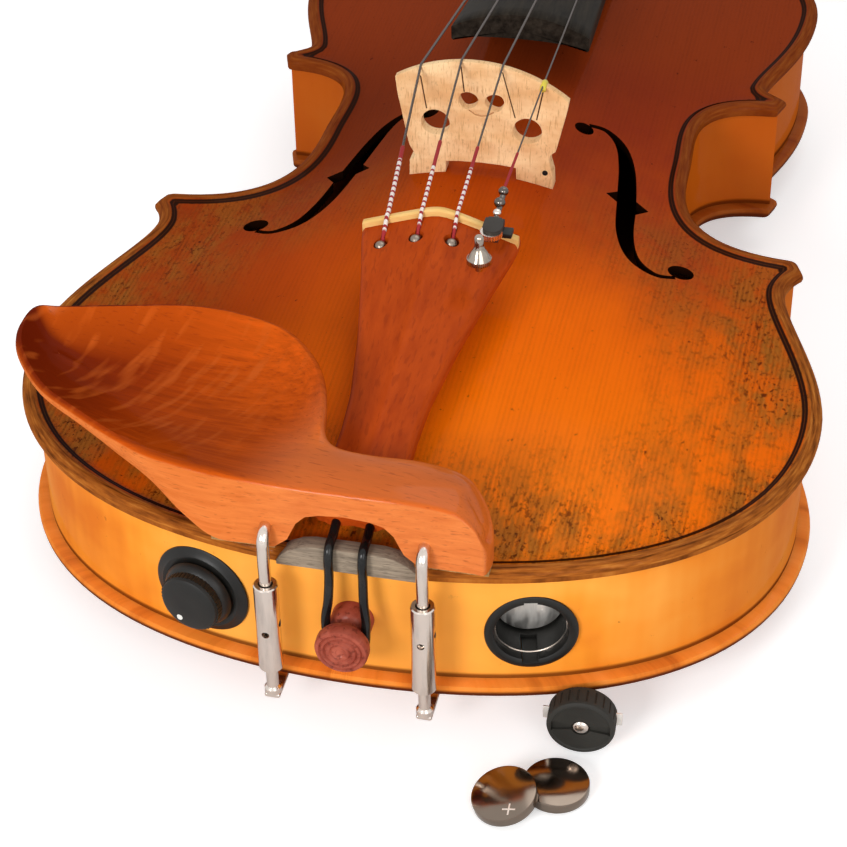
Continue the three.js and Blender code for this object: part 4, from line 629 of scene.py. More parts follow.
def varnished_spruce():
    """Spruce sawn on the quarter under worn orange spirit varnish.
    It gives the eye close straight grain, orange that turns red-brown higher up, partly in the varnish
    and partly as painted light, an olive worn border full of dark dashes, and a soft gloss."""
    material, tree = new_material("varnished_spruce")
    cloud = pattern(tree, (34, 46, 34), 4)
    place = node(tree, "TexCoord", out="Object")
    # The colour is brightest near this spot on the lower bout and darkens away from it: partly the varnish
    # and partly painted light, the near side drawn brighter
    brightest = (0.035, -0.15, 0.06)
    far = node(tree, "VectorMath", {0: place, 1: brightest}, "Value", operation="DISTANCE")
    far = node(tree, "Math", {0: cloud, 1: 0.05, 2: far}, operation="MULTIPLY_ADD")
    far = node(tree, "MapRange", {"Value": far, "From Min": 0.025, "From Max": 0.225})
    base = node(tree, "ValToRGB", {"Fac": far}, stops=(
        (0.0, "FF7C08"), (1.0, "8C3512"), (0.32, "F26A06"), (0.53, "D05408"), (0.7, "B6480B"),
        (0.85, "9C3C0E")))
    # Redder past the treble sound hole, darker past the bass one, partly in the varnish and partly as
    # painted shade, and redder again above the chin rest
    base = laid_over(tree, base, "86201A", near(tree, (0.055, 0.0, 0.06), 0.015, 0.085), cloud)
    base = laid_over(tree, base, "541A06", near(tree, (-0.066, 0.008, 0.05), 0.02, 0.08), 0.55)
    base = laid_over(tree, base, "9A3006", near(tree, (-0.09, -0.07, 0.05), 0.03, 0.09), 0.55)
    # The worn border, widest on the lower bout, where the varnish has gone to olive and dirt
    zone = node(tree, "Math", {0: fade(tree, "inlay", "X", 48, 14),
                               1: fade(tree, "place", "Y", -0.005, -0.06)}, operation="MULTIPLY")
    patches = spots(tree, (0.38, 0.1), (0.56, 0.85), (16, 30, 16), 4, 0.65)
    zone = node(tree, "Math", {0: zone, 1: patches}, operation="MULTIPLY")
    olive = spots(tree, (0.4, 0.25), (0.54, 0.95), (6, 14, 6), 4, 0.7)
    base = laid_over(tree, base, "9A6220", olive, zone)
    # Annual rings a little over a millimetre apart, dark where dirt lies in them
    rings = node(tree, "TexWave", {"Vector": place, "Scale": wave_scale(1.2566), "Distortion": 7.0,
                                   "Detail": 3.0, "Detail Scale": 22.0, "Detail Roughness": 0.6}, "Fac",
                 bands_direction="X", wave_profile="SIN")
    rings = node(tree, "ValToRGB", {"Fac": rings}, stops=((0.0, 1.0), (0.55, 0.0)))
    bold = spots(tree, (0.35, 0.15), (0.65, 1.0), (2.2, 30, 12), 3, 0.6)
    ruled = node(tree, "Math", {0: rings, 1: bold}, operation="MULTIPLY")
    darkness = node(tree, "Math", {0: zone, 1: 0.75, 2: 0.2}, operation="MULTIPLY_ADD")
    base = laid_over(tree, base, "4A1C06", ruled, darkness)
    # Short dark worm-like dashes in the border, and a few knocks anywhere
    dashes = node(tree, "Math", {0: spots(tree, (0.55, 0.0), (0.6, 1.0), (1.2, 2, 3), 3, 0.7),
                                 1: spots(tree, (0.34, 0.3), (0.54, 1.0), (12, 16, 12), 3, 0.7)},
                  operation="MULTIPLY")
    base = laid_over(tree, base, "4E1A06", dashes, zone)
    knocks = spots(tree, (0.675, 0.0), (0.695, 0.9), (2.6, 3.6, 5), 4, 0.75)
    base = laid_over(tree, base, "541A08", knocks)
    final = rimmed(tree, base, ((0.3, "4E260A"), (0.72, "C67E34"), (0.42, "844618"), (0.55, "A55C20")))
    final = laid_over(tree, final, "1E0C04", *sound_hole_walls(tree, place))
    grain = node(tree, "Bump", {"Height": ruled, "Distance": -0.00004, "Strength": 0.35})
    return finish(material, final, pattern(tree, (8, 12, 8), 4), (0.24, 0.4),
                  {"Height": dashes, "Distance": -0.0001, "Strength": 0.4, "Normal": grain},
                  {"Specular IOR Level": 0.0, "Coat Weight": 0.05, "Coat Roughness": 0.08})


def sound_hole_walls(tree, place):
    """The cut walls of the sound holes, dark with age: steep faces in a slanting band on each side."""
    across, along = (node(tree, "SeparateXYZ", {"Vector": place}, axis) for axis in "XY")
    across = node(tree, "Math", {0: across}, operation="ABSOLUTE")
    slant, middle = 0.54, 0.0323
    line = node(tree, "Math", {0: along, 1: slant, 2: across}, operation="MULTIPLY_ADD")
    off = node(tree, "Math", {0: line, 1: middle}, operation="SUBTRACT")
    off = node(tree, "Math", {0: off}, operation="ABSOLUTE")
    band = node(tree, "MapRange", {"Value": off, "From Min": 0.0165, "From Max": 0.015})
    return band, fade(tree, "normal", "Z", 0.75, 0.5), fade(tree, "place", "Y", -0.08, -0.07)


def flamed(name, light, mid, dark, bands_along_edge, period):
    """Maple with faint flame across it under clear orange varnish.
    It gives the eye a smooth glossy orange, slow bands that hardly show, and rubbed dark specks."""
    material, tree = new_material(name)
    if bands_along_edge:
        bands = inlay_pattern(tree, (period, 60), 2)
    else:
        bands = pattern(tree, (70, period, 70), 2, 0.5, 0, 0.3)
    cloud = pattern(tree, (40, 40, 24), 3, 0.5)
    flame = node(tree, "Math", {0: bands, 1: 0.45, 2: cloud}, operation="MULTIPLY_ADD")
    base = node(tree, "ValToRGB", {"Fac": flame}, stops=((0.5, dark), (0.96, light), (0.72, mid)))
    specks = spots(tree, (0.66, 0.0), (0.7, 0.5), (2.6, 2.6, 4), 5, 0.75)
    base = laid_over(tree, base, "8A3A0C", specks)
    finish(material, base, cloud, (0.2, 0.32), {"Height": bands, "Distance": 0.00006, "Strength": 0.3},
           {"Specular IOR Level": 0.0, "Coat Weight": 0.1, "Coat Roughness": 0.06})
    return material, tree, base


def recoloured(material, base):
    """The same material with another colour."""
    tree = material.node_tree
    plug(tree, tree.nodes["Principled BSDF"], {"Base Color": base})
    return material


def rib_maple():
    """The varnished ribs: bright orange round the lower end, with painted light in its middle, redder in
    the waist and the upper bout.
    """
    material, tree, base = flamed("varnished_maple_ribs", "FFAC48", "F8962E", "E27A20", True, 9)
    base = laid_over(tree, base, "B4500A", fade(tree, "place", "Y", -0.09, 0.0), 0.85)
    aside = node(tree, "SeparateXYZ", {"Vector": node(tree, "TexCoord", out="Object")}, "X")
    aside = node(tree, "Math", {0: aside}, operation="ABSOLUTE")
    aside = node(tree, "MapRange", {"Value": aside, "From Min": 0.05, "From Max": 0.105})
    base = laid_over(tree, base, "C05E22", aside, 0.6)
    # Painted light that brightens the middle of the lower ribs, where the chin rest's shade falls
    base = laid_over(tree, base, "FFB24E", near(tree, (0.0, -0.178, 0.032), 0.03, 0.06), 0.6)
    # Dark lines along both glue joints: dirt in the joints, and painted shade in the corners under the
    # plates' edges
    for seam, clear in ((BACK_GLUE + 0.9, BACK_GLUE + 1.8), (TOP_GLUE - 0.3, TOP_GLUE - 1.2)):
        base = laid_over(tree, base, "5A2408", fade(tree, "inlay", "Y", clear, seam), 0.85)
    return recoloured(material, base)


def back_maple():
    """The maple back: rubbed orange rim with dark worn streaks, purfling, and flame across the plate."""
    material, tree, base = flamed("varnished_maple_back", "D98020", "B85C14", "8A380C", False, 7)
    base = rimmed(tree, base, ((0.28, "9A4A14"), (0.66, "F4923E"), (0.38, "D27026"), (0.5, "EA842E")))
    # Painted shade along the lower corner of the rim, where the underside turns away from the light
    low, outer = fade(tree, "place", "Z", 0.0139, 0.013), fade(tree, "inlay", "X", 1.6, 0.9)
    return recoloured(material, laid_over(tree, base, "5E260A", low, outer))


def neck_maple():
    """The varnished neck, pegbox and scroll."""
    return flamed("varnished_maple_neck", "D98428", "BE6416", "96440E", False, 6)[0]


def streaked_wood(name, light, dark, size, rough, fleck="000000", fleck_share=0.0, coat=0.0):
    """Plain-sawn hardwood: long streaks and short pores along one axis, oiled or polished.
    It gives the eye the run of the grain and a broken sheen."""
    material, tree = new_material(name)
    streaks = pattern(tree, size, 4, 0.6, 0, 0.3)
    pores = pattern(tree, tuple(s / 3.5 for s in size), 2)
    base = node(tree, "ValToRGB", {"Fac": streaks}, stops=((0.32, dark), (0.68, light)))
    flecks = node(tree, "ValToRGB", {"Fac": pores}, stops=((0.56, 0.0), (0.66, fleck_share)))
    return finish(material, laid_over(tree, base, fleck, flecks), streaks, (rough - 0.06, rough + 0.06),
                  {"Height": pores, "Distance": 0.00004, "Strength": 0.4},
                  {"Specular IOR Level": 0.02, "Coat Weight": coat, "Coat Roughness": 0.15})


def chin_rest_wood():
    """Polished reddish hardwood, sawn so that its grain runs along the rest.
    It gives the eye a deep red-brown dish with a few pale curls high on it, and a front face drawn lighter
    as painted light."""
    material, tree = new_material("polished_chin_rest_wood")
    grain_turn = -8
    streaks = pattern(tree, (26, 1.5, 1.5), 4, 0.62, grain_turn, 0.2)
    # Darker to the left and lighter to the right: partly the wood's tone and partly painted light
    base = node(tree, "ValToRGB", {"Fac": fade(tree, "place", "X", -0.092, -0.03)},
                stops=((0.0, "74220A"), (1.0, "E26014"), (0.5, "AC3E0A")))
    dark_streaks = node(tree, "ValToRGB", {"Fac": streaks}, stops=((0.35, 0.45), (0.66, 0.0)))
    base = laid_over(tree, base, "6E2407", dark_streaks)
    # Darker at the far end, painted shade in the hollow by the arm, and lighter along the arm
    base = laid_over(tree, base, "6A1C05", near(tree, (-0.09, -0.128, 0.078), 0.012, 0.055), 0.65)
    base = laid_over(tree, base, "7A2A08", near(tree, (-0.032, -0.16, 0.068), 0.012, 0.034), 0.35)
    arm = near(tree, (0.02, -0.178, 0.074), 0.03, 0.05)
    base = laid_over(tree, base, "E07430", arm, 0.75)
    base = laid_over(tree, base, "701F09", spots(tree, (0.42, 0.25), (0.62, 0.0), (60, 34, 60), 3))
    # Curl: short pale bars across the grain, only toward the far left of the dish
    curls = spots(tree, (0.54, 0.0), (0.74, 0.6), (2.6, 11, 11), 1, 0.4, -26, 0.16)
    base = laid_over(tree, base, "C05A20", curls, near(tree, (-0.07, -0.128, 0.08), 0.04, 0.065))
    # Painted light: the faces that look to the front are drawn lighter and more orange
    front = fade(tree, "normal", "Y", -0.3, -0.8)
    base = laid_over(tree, base, "DE6012", front, 0.5)
    face = node(tree, "ValToRGB", {"Fac": streaks}, stops=((0.3, "CE6A2E"), (0.7, "E07E3E")))
    base = laid_over(tree, base, face, front, fade(tree, "normal", "Z", 0.62, 0.4))
    pores = spots(tree, (0.6, 0.0), (0.7, 0.35), (4.5, 0.5, 0.5), 2, 0.5, grain_turn)
    base = laid_over(tree, base, "74260C", pores)
    polish = node(tree, "MapRange", {"Value": arm, "To Min": 0.04, "To Max": 0.3})
    return finish(material, base, streaks, (0.34, 0.46),
                  {"Height": pores, "Distance": -0.00004, "Strength": 0.4},
                  {"Specular IOR Level": 0.0, "Coat Weight": polish, "Coat Roughness": 0.1})


def bridge_maple():
    """Bare quartered maple of the bridge: pale, with fine brown flecks and the rays along the grain."""
    material, tree = new_material("bare_bridge_maple")
    broad = pattern(tree, (12, 12, 7), 3)
    base = node(tree, "ValToRGB", {"Fac": broad}, stops=((0.35, "EAB880"), (0.66, "FFDAA6")))
    rays = spots(tree, (0.56, 0.0), (0.68, 0.55), (0.4, 2, 4.2), 3)
    base = laid_over(tree, base, "B87C40", rays)
    pores = pattern(tree, (0.5, 0.5, 1.4), 2)
    dark_pores = node(tree, "ValToRGB", {"Fac": pores}, stops=((0.6, 0.0), (0.72, 0.35)))
    return finish(material, laid_over(tree, base, "96602C", dark_pores), broad, (0.5, 0.62),
                  {"Height": pores, "Distance": -0.00003, "Strength": 0.4}, {"Specular IOR Level": 0.2})


def moulded_plastic(name, shade, rough, dust="34332F", grit=0.9, depth=0.00004):
    """Injection-moulded plastic with a fine spark-eroded grit: dark, even, with a dull broken sheen.
    The grit is drawn several times as coarse as a real one, so that it shows."""
    material, tree = new_material(name)
    wear = pattern(tree, (11, 11, 11), 3)
    dusty = node(tree, "ValToRGB", {"Fac": wear}, stops=((0.4, 0.0), (0.8, 0.5)))
    grain = pattern(tree, (grit, grit, grit), 2)
    return finish(material, laid_over(tree, shade, dust, dusty), wear, (rough - 0.06, rough + 0.08),
                  {"Height": grain, "Distance": depth, "Strength": 0.6}, {"Specular IOR Level": 0.3})


def polished_metal(name, shade, rough, dull="8E8780", size=(2, 2, 12)):
    """Plated or rolled metal: a mirror broken by fine rubbing marks and a little tarnish."""
    material, tree = new_material(name)
    rubbed = pattern(tree, size, 3)
    tarnish = node(tree, "ValToRGB", {"Fac": rubbed}, stops=((0.45, 0.0), (0.8, 0.4)))
    return finish(material, laid_over(tree, shade, dull, tarnish), rubbed, (rough * 0.7, rough * 1.5),
                  {"Height": rubbed, "Distance": 0.00001, "Strength": 0.4}, {"Metallic": 1.0})


SILK_HOLE_Y = 99.5


def wound_string(name, silk_start, white_start):
    """A string wound with fine flat wire, with dyed silk at its tail end.
    It gives the eye dark metal, then plain red, a red and white candy twist, and red again at the hole."""
    material, tree = new_material(name)
    waves = {"bands_direction": "Y", "wave_profile": "SIN"}
    place = node(tree, "TexCoord", out="Object")
    # The turns of the wire are drawn some three times as coarse as real ones, so that they show
    turns = node(tree, "TexWave", {"Vector": place, "Scale": wave_scale(0.561)}, "Fac", **waves)
    metal = node(tree, "ValToRGB", {"Fac": turns}, stops=((0.2, "453E3A"), (0.8, "6F6763")))
    twist = node(tree, "TexWave", {"Vector": place, "Scale": wave_scale(1.848), "Distortion": 1.6,
                                   "Detail": 2.0}, "Fac", **waves)
    candy = node(tree, "ValToRGB", {"Fac": twist}, stops=((0.22, "9A1A24"), (0.36, "F0E4DC")))
    start, twisted, hole = ((y - REST_Y) / 1000 for y in (silk_start, white_start, SILK_HOLE_Y))
    plain = fade(tree, "place", "Y", twisted - 0.0005, twisted)
    low = fade(tree, "place", "Y", hole + 0.0005, hole)
    red = node(tree, "Math", {0: plain, 1: low}, operation="MAXIMUM")
    silk = fade(tree, "place", "Y", start + 0.0003, start)
    base = laid_over(tree, metal, laid_over(tree, candy, "A01C22", red), silk)
    plug(tree, tree.nodes["Principled BSDF"], {
        "Base Color": base,
        "Metallic": node(tree, "Math", {0: 1.0, 1: silk}, operation="SUBTRACT"),
        "Roughness": node(tree, "MapRange", {"Value": silk, "To Min": 0.42, "To Max": 0.75}),
        "Normal": node(tree, "Bump", {"Height": turns, "Distance": 0.00005, "Strength": 0.5})})
    return material


SPRUCE_TOP = varnished_spruce()
RIB_MAPLE = rib_maple()
NECK_MAPLE = neck_maple()
BACK_MAPLE = back_maple()
CHIN_WOOD = chin_rest_wood()
BRIDGE_MAPLE = bridge_maple()
TAIL_WOOD = streaked_wood("polished_tailpiece_wood", "BC4A12", "A63C0C", (3.2, 40, 3.2), 0.42,
                          "7E2A0C", 0.35, 0.04)
BUTTON_WOOD = streaked_wood("polished_button_wood", "B05A46", "86382A", (5, 5, 5), 0.36,
                            "4C1810", 0.5, 0.15)
BOXWOOD = streaked_wood("polished_boxwood", "F6CC86", "E4B260", (16, 2.5, 2.5), 0.4)
EBONY = streaked_wood("oiled_ebony", "37312A", "1C1814", (2, 50, 2), 0.42)
SADDLE_EBONY = streaked_wood("dressed_ebony_saddle", "A0907C", "7C6E60", (9, 0.8, 0.8), 0.55,
                             "4A4038", 0.5)
BARE_SPRUCE = streaked_wood("bare_spruce", "DDBB8A", "B8905C", (1.6, 80, 3), 0.7)
CORK = streaked_wood("pressed_cork", "C09A66", "8E6A3E", (2, 2, 2), 0.9, "5E4426", 0.8)
NICKEL = polished_metal("nickel_plated_brass", "E2D6CC", 0.17)
BRUSHED = polished_metal("brushed_contact_plate", "F2EEE8", 0.5)
DULL_BRASS = polished_metal("dull_ball_end", "8E8074", 0.32, "5A5048")
STEEL = polished_metal("rolled_stainless_steel", "84766A", 0.14, "76685C", (14, 14, 14))
WORN_NICKEL = polished_metal("worn_nickel_screw", "A89C90", 0.14, "5E554C")
DARK_NICKEL = polished_metal("worn_nickel_hook", "6A625C", 0.12, "3A3430")
BLACK_PLASTIC = moulded_plastic("black_moulded_abs", "151412", 0.42, "24231F")
MATT_PLASTIC = moulded_plastic("matt_black_cap", "262420", 0.62, "3A3832", 1.1, 0.00008)
GUT_BLACK = moulded_plastic("glossy_tail_cord", "08080A", 0.14, grit=2.5, depth=0.00001)
CIRCUIT = moulded_plastic("solder_mask_board", "1E4A2C", 0.35, "4A6A48")
RED_WIRE = moulded_plastic("red_wire_insulation", "A02018", 0.4, "7A2A20")
BLACK_WIRE = moulded_plastic("black_wire_insulation", "1A1A1C", 0.4)
# Painted shade for the bottoms of the bridge's kerfs
KERF_PAINTED_SHADE = moulded_plastic("kerf_painted_shade", "4A2A12", 0.8, "3A200E")
DARK = moulded_plastic("blackened_cut", "0A0604", 0.7, "1A120C")
BROWNED_STEEL = moulded_plastic("browned_steel_plate", "2E2822", 0.5)
PALE_HORN = moulded_plastic("yellow_string_guard", "E2CE4A", 0.4, "C8B440")
WHITE_PAINT = moulded_plastic("white_marking_paint", "E8E6E0", 0.5, "C8C4BA")

SILK_ENDS = {"g": 128, "d": 128, "a": 127.5, "e": 128}
WHITE_STARTS = {"g": 123.5, "d": 119, "a": 119.7, "e": 90}
STRING_FINISH = {name: wound_string(f"wound_string_{name}", SILK_ENDS[name], WHITE_STARTS[name])
                 for name in "gdae"}


# The sound box

SIDES = {"bass": -1, "treble": 1}
UPPER_EYE, UPPER_EYE_RADIUS = (23.4, 195), 2.8
LOWER_EYE, LOWER_EYE_RADIUS = (60.4, 134.4), 3.6
# Shares of the way from the upper to the lower eye across and from the lower to the upper eye
# along the body, and half the width of the stem in millimetres
SOUND_HOLE_STEM = (
    (0.03, 1.045, 0.8), (0.17, 1.06, 1.0), (0.31, 0.98, 1.8), (0.4, 0.8, 2.5), (0.47, 0.5, 2.8),
    (0.53, 0.2, 2.5), (0.64, 0.0, 1.8), (0.82, -0.085, 1.0), (0.97, -0.06, 0.8))
NICK = ((-6.6, 0.8), (2.4, -6), (6, -0.8), (-2.4, 6))
NICK_SHIFT = -0.6
CUTTER_DEPTH = 30


def sound_hole_cutter():
    """The stem, the two eyes and the nick of both sound holes, as one tool."""
    (high_x, high_y), (low_x, low_y) = UPPER_EYE, LOWER_EYE
    rows = [(high_x + (low_x - high_x) * x, low_y + (high_y - low_y) * y, half)
            for x, y, half in SOUND_HOLE_STEM]
    line = spline_through(rows, 6)
    side = left_normals(line[:, :2]) * line[:, 2:3]
    stem = [tuple(p) for p in [*(line[:, :2] + side), *(line[:, :2] - side)[::-1]]]
    middle_x, middle_y = (high_x + low_x) / 2 + NICK_SHIFT, (high_y + low_y) / 2
    nick = [(middle_x + x, middle_y + y) for x, y in NICK]
    eyes = circle(UPPER_EYE_RADIUS, 40, *UPPER_EYE), circle(LOWER_EYE_RADIUS, 40, *LOWER_EYE)
    tool, *others = (sawn([outline], CUTTER_DEPTH) for outline in (stem, nick, *eyes))
    carve(tool, *others, operation="UNION")
    placed(tool, shift(0, 0, TOP_GLUE + 14))
    other = tool.copy()
    other.data = tool.data.copy()
    bpy.context.collection.objects.link(other)
    placed(other, Matrix.Diagonal((-1, 1, 1, 1)))
    return joined(tool, tidy_mesh(other))


def top_plate():
    """The arched spruce top with its two sound holes."""
    shell = plate("top_board", half_edge(), TOP_GLUE, 1, TOP_ARCH, TOP_THICK)
    carve(shell, sound_hole_cutter())
    settle(shell, "top_board", SPRUCE_TOP, "top_plate")


def back_plate():
    """The arched maple back, flat where it lies on the table."""
    edge = button_edge(half_edge())
    shell = plate("back_board", edge, BACK_GLUE, -1, BACK_ARCH, BACK_THICK, on_table=True)
    settle(shell, "back_board", BACK_MAPLE, "back_plate")


def carried_on(end, before, distance=5):
    """A point past the end of a run."""
    step = end - before
    return end + step / np.linalg.norm(step) * distance


def offset_run(points, distance):
    """A run of the outline moved inwards, with its corner ends carried on a little."""
    rows = np.array([(p.x, p.y) for p in points])
    inward = left_normals(rows)
    at_middle = [rows[i, 0] < 0.05 for i in (0, -1)]
    for i in (0, -1):
        if at_middle[i]:
            inward[i] = (0, np.sign(inward[i, 1]))
    run = rows + inward * distance
    if not at_middle[0]:
        run = np.vstack([carried_on(run[0], run[1]), run])
    if not at_middle[-1]:
        run = np.vstack([run, carried_on(run[-1], run[-2])])
    return run


def crossing(first, second):
    """Where two runs cross, with the numbers of the pieces that do."""
    for i in range(len(first) - 2, -1, -1):
        for j in range(len(second) - 1):
            r, s = first[i + 1] - first[i], second[j + 1] - second[j]
            gap = second[j] - first[i]
            turn = r[0] * s[1] - r[1] * s[0]
            if turn == 0:
                continue
            t = (gap[0] * s[1] - gap[1] * s[0]) / turn
            u = (gap[0] * r[1] - gap[1] * r[0]) / turn
            if 0 <= t <= 1 and 0 <= u <= 1:
                return i, j, first[i] + r * t
    raise ValueError("two ribs do not meet")


def rib_runs(distance):
    """The three bouts of one side as the ribs follow them, from corner to corner."""
    lower, waist, upper = (offset_run(run, distance) for run in (lower_bout, waist_bout, upper_bout))
    i, j, low = crossing(lower, waist)
    k, m, high = crossing(waist, upper)
    kept = [p for p in upper[m + 1:] if p[1] < HEEL_Y or p[0] > HEEL_HALF]
    end = np.array([HEEL_HALF, kept[-1][1] + (upper[-1][1] - kept[-1][1]) * 0.6])
    return {
        "lower": np.vstack([lower[:i + 1], low]),
        "waist": np.vstack([low, waist[j + 1:k + 1], high]),
        "upper": np.vstack([high, kept, end]),
    }


def resampled(run, count):
    """A run with its points evenly spaced, and how far along each is."""
    lengths = lengths_along(run)
    places = np.linspace(0, lengths[-1], count)
    return np.column_stack([np.interp(places, lengths, run[:, k]) for k in (0, 1)]), places


RIB_STEPS = 90
# The bass ribs take their flame from further along the same pattern
BASS_FLAME = 400


def rib(bout, side, outer_run, inner_run):
    """One bent rib, with its length and height kept as inlay coordinates for the flame."""
    count = RIB_STEPS
    outer, places = resampled(outer_run, count)
    inner, _ = resampled(inner_run, count)
    start = 0 if side > 0 else BASS_FLAME
    corners, uvs = [], []
    for run in (outer, inner):
        for level in (BACK_GLUE, (BACK_GLUE + TOP_GLUE) / 2, TOP_GLUE):
            corners += [(side * x, y, level) for x, y in run]
            uvs += [(place + start, level) for place in places]
    # Rows 0 to 2 are the outer face from the back to the top, and rows 3 to 5 the inner face
    faces = [(a * count + i, a * count + i + 1, b * count + i + 1, b * count + i)
             for a, b in ((0, 1), (1, 2), (3, 4), (4, 5), (0, 3), (2, 5)) for i in range(count - 1)]
    faces += [tuple(row * count + i for row in end)
              for end in ((0, 1, 4, 3), (1, 2, 5, 4)) for i in (0, count - 1)]
    return tidy_mesh(surface(f"{bout}_rib", corners, faces, uvs))


# How far the lower rib faces aside and down the violin, at the knob and at the battery socket
SEAT_FACING = (0.23674, 0.97157)
SEAT_TURN = math.degrees(math.atan2(*SEAT_FACING))
KNOB_SEAT = shift(-39.048, 8.296, 30) @ rotation(-SEAT_TURN, "Z") @ OUTWARD
SOCKET_SEAT = shift(42.449, 9.121, 30) @ rotation(SEAT_TURN, "Z") @ OUTWARD
SOCKET_HOLE = 10.3


def ribs():
    """Three bent ribs on each side; the lower treble one has the hole for the battery socket."""
    outer_runs, inner_runs = rib_runs(OVERHANG), rib_runs(OVERHANG + RIB)
    for side_name, side in SIDES.items():
        for bout in ("lower", "waist", "upper"):
            made = rib(bout, side, outer_runs[bout], inner_runs[bout])
            if bout == "lower" and side > 0:
                hole = rod(SOCKET_HOLE, (0, 0, -12), (0, 0, 12), 48)
                carve(made, placed(hole, SOCKET_SEAT))
            settle(made, f"{bout}_rib_band_{side_name}", RIB_MAPLE,
                   f"{bout}_rib_{side_name}")


# Chin rest

# Rim, spine, floor, underside and wall foot are shares of the rest's length, depth and rise. The
# tucks are the millimetres by which the wall's foot stands in from the rim, and the bell is the
# tunnel under the arm, in millimetres.
CHIN_LENGTH, CHIN_DEPTH, CHIN_RISE = 134, 60, 26
CHIN_BASE = 54.1
CHIN_ROUND = 1.6
CHIN_RIGHT = (0.254, 0.06, 0.28)
CHIN_LEFT = (-0.693, 0.68, 0.985)
CHIN_BACK = (
    (0.247, 0.14, 0.36), (0.224, 0.208, 0.52), (0.187, 0.242, 0.67), (0.112, 0.258, 0.73),
    (0.022, 0.258, 0.73), (-0.045, 0.275, 0.745), (-0.07, 0.33, 0.81), (-0.078, 0.433, 0.91),
    (-0.097, 0.567, 0.97), (-0.131, 0.7, 0.985), (-0.19, 0.84, 0.985), (-0.27, 0.92, 0.985),
    (-0.381, 0.95, 0.985), (-0.5, 0.905, 0.985), (-0.634, 0.835, 0.985), (-0.684, 0.81, 0.985))
CHIN_FRONT = (
    (0.247, -0.017, 0.36), (0.226, -0.017, 0.55), (0.187, -0.017, 0.69), (0.112, -0.017, 0.73),
    (0.02, -0.017, 0.73), (-0.06, -0.017, 0.73), (-0.12, -0.017, 0.74), (-0.18, -0.017, 0.755),
    (-0.24, -0.017, 0.78), (-0.3, 0, 0.8), (-0.365, 0.03, 0.82), (-0.44, 0.108, 0.835),
    (-0.522, 0.217, 0.84), (-0.6, 0.33, 0.855), (-0.655, 0.46, 0.91), (-0.682, 0.56, 0.97))
CHIN_SPINE = (
    (0.232, 0.06), (0.212, 0.09), (0.187, 0.11), (0.112, 0.12), (0.02, 0.12), (-0.05, 0.13),
    (-0.1, 0.2), (-0.14, 0.28), (-0.19, 0.36), (-0.24, 0.42), (-0.3, 0.46), (-0.36, 0.5),
    (-0.43, 0.54), (-0.5, 0.57), (-0.56, 0.61), (-0.61, 0.64))
CHIN_FLOOR = (0.48, 0.62, 0.73, 0.77, 0.77, 0.775, 0.76, 0.71, 0.66, 0.63, 0.6, 0.58, 0.585, 0.6,
              0.65, 0.72)
CHIN_UNDER = (0, 0, 0, 0, 0, 0.05, 0.1, 0.18, 0.26, 0.32, 0.34, 0.33, 0.34, 0.36, 0.4, 0.46)
CHIN_FRONT_LOW = (0, 0, 0, 0, 0, 0, 0, 0, 0.02, 0.19, 0.42, 0.48, 0.54, 0.58, 0.63, 0.68)
CHIN_BACK_LOW = (0.02, 0.1, 0.2, 0.25, 0.25, 0.28, 0.34, 0.42, 0.5, 0.56, 0.6, 0.62, 0.62, 0.62,
                 0.64, 0.68)
CHIN_FRONT_TUCK = (0, 0, 0, 0, 0, 0, 0, 0, 0, 1, 2.5, 4, 4.5, 4.5, 4.5, 4.5)
CHIN_BACK_TUCK = (0, 1, 1, 1, 1, 1, 1.5, 2, 3, 4, 4.5, 4.5, 4.5, 4.5, 4.5, 4.5)
CHIN_HALF_BELL = ((17.5, -6), (17.5, 0.3), (14, 3.3), (11.7, 8.4), (9.4, 10.8), (6, 11.8), (0, 12.3))


def chin_rows():
    """One row per rim point: rim, spine, dish floor, underside, wall foot and its tuck."""
    rows = []

    def row(rim, place, low, tuck):
        spine = CHIN_SPINE[place]
        rows.append((CHIN_LENGTH * rim[0], CHIN_DEPTH * rim[1], CHIN_RISE * rim[2],
                     CHIN_LENGTH * spine[0], CHIN_DEPTH * spine[1], CHIN_RISE * CHIN_FLOOR[place],
                     CHIN_RISE * CHIN_UNDER[place], CHIN_RISE * low, tuck))

    last = len(CHIN_BACK) - 1
    row(CHIN_RIGHT, 0, 0.0, 0)
    for i, rim in enumerate(CHIN_BACK):
        row(rim, i, CHIN_BACK_LOW[i], CHIN_BACK_TUCK[i])
    row(CHIN_LEFT, last, 0.7, 4.5)
    for i in range(last, -1, -1):
        row(CHIN_FRONT[i], i, CHIN_FRONT_LOW[i], CHIN_FRONT_TUCK[i])
    return spline_through(rows, 6, closed=True)


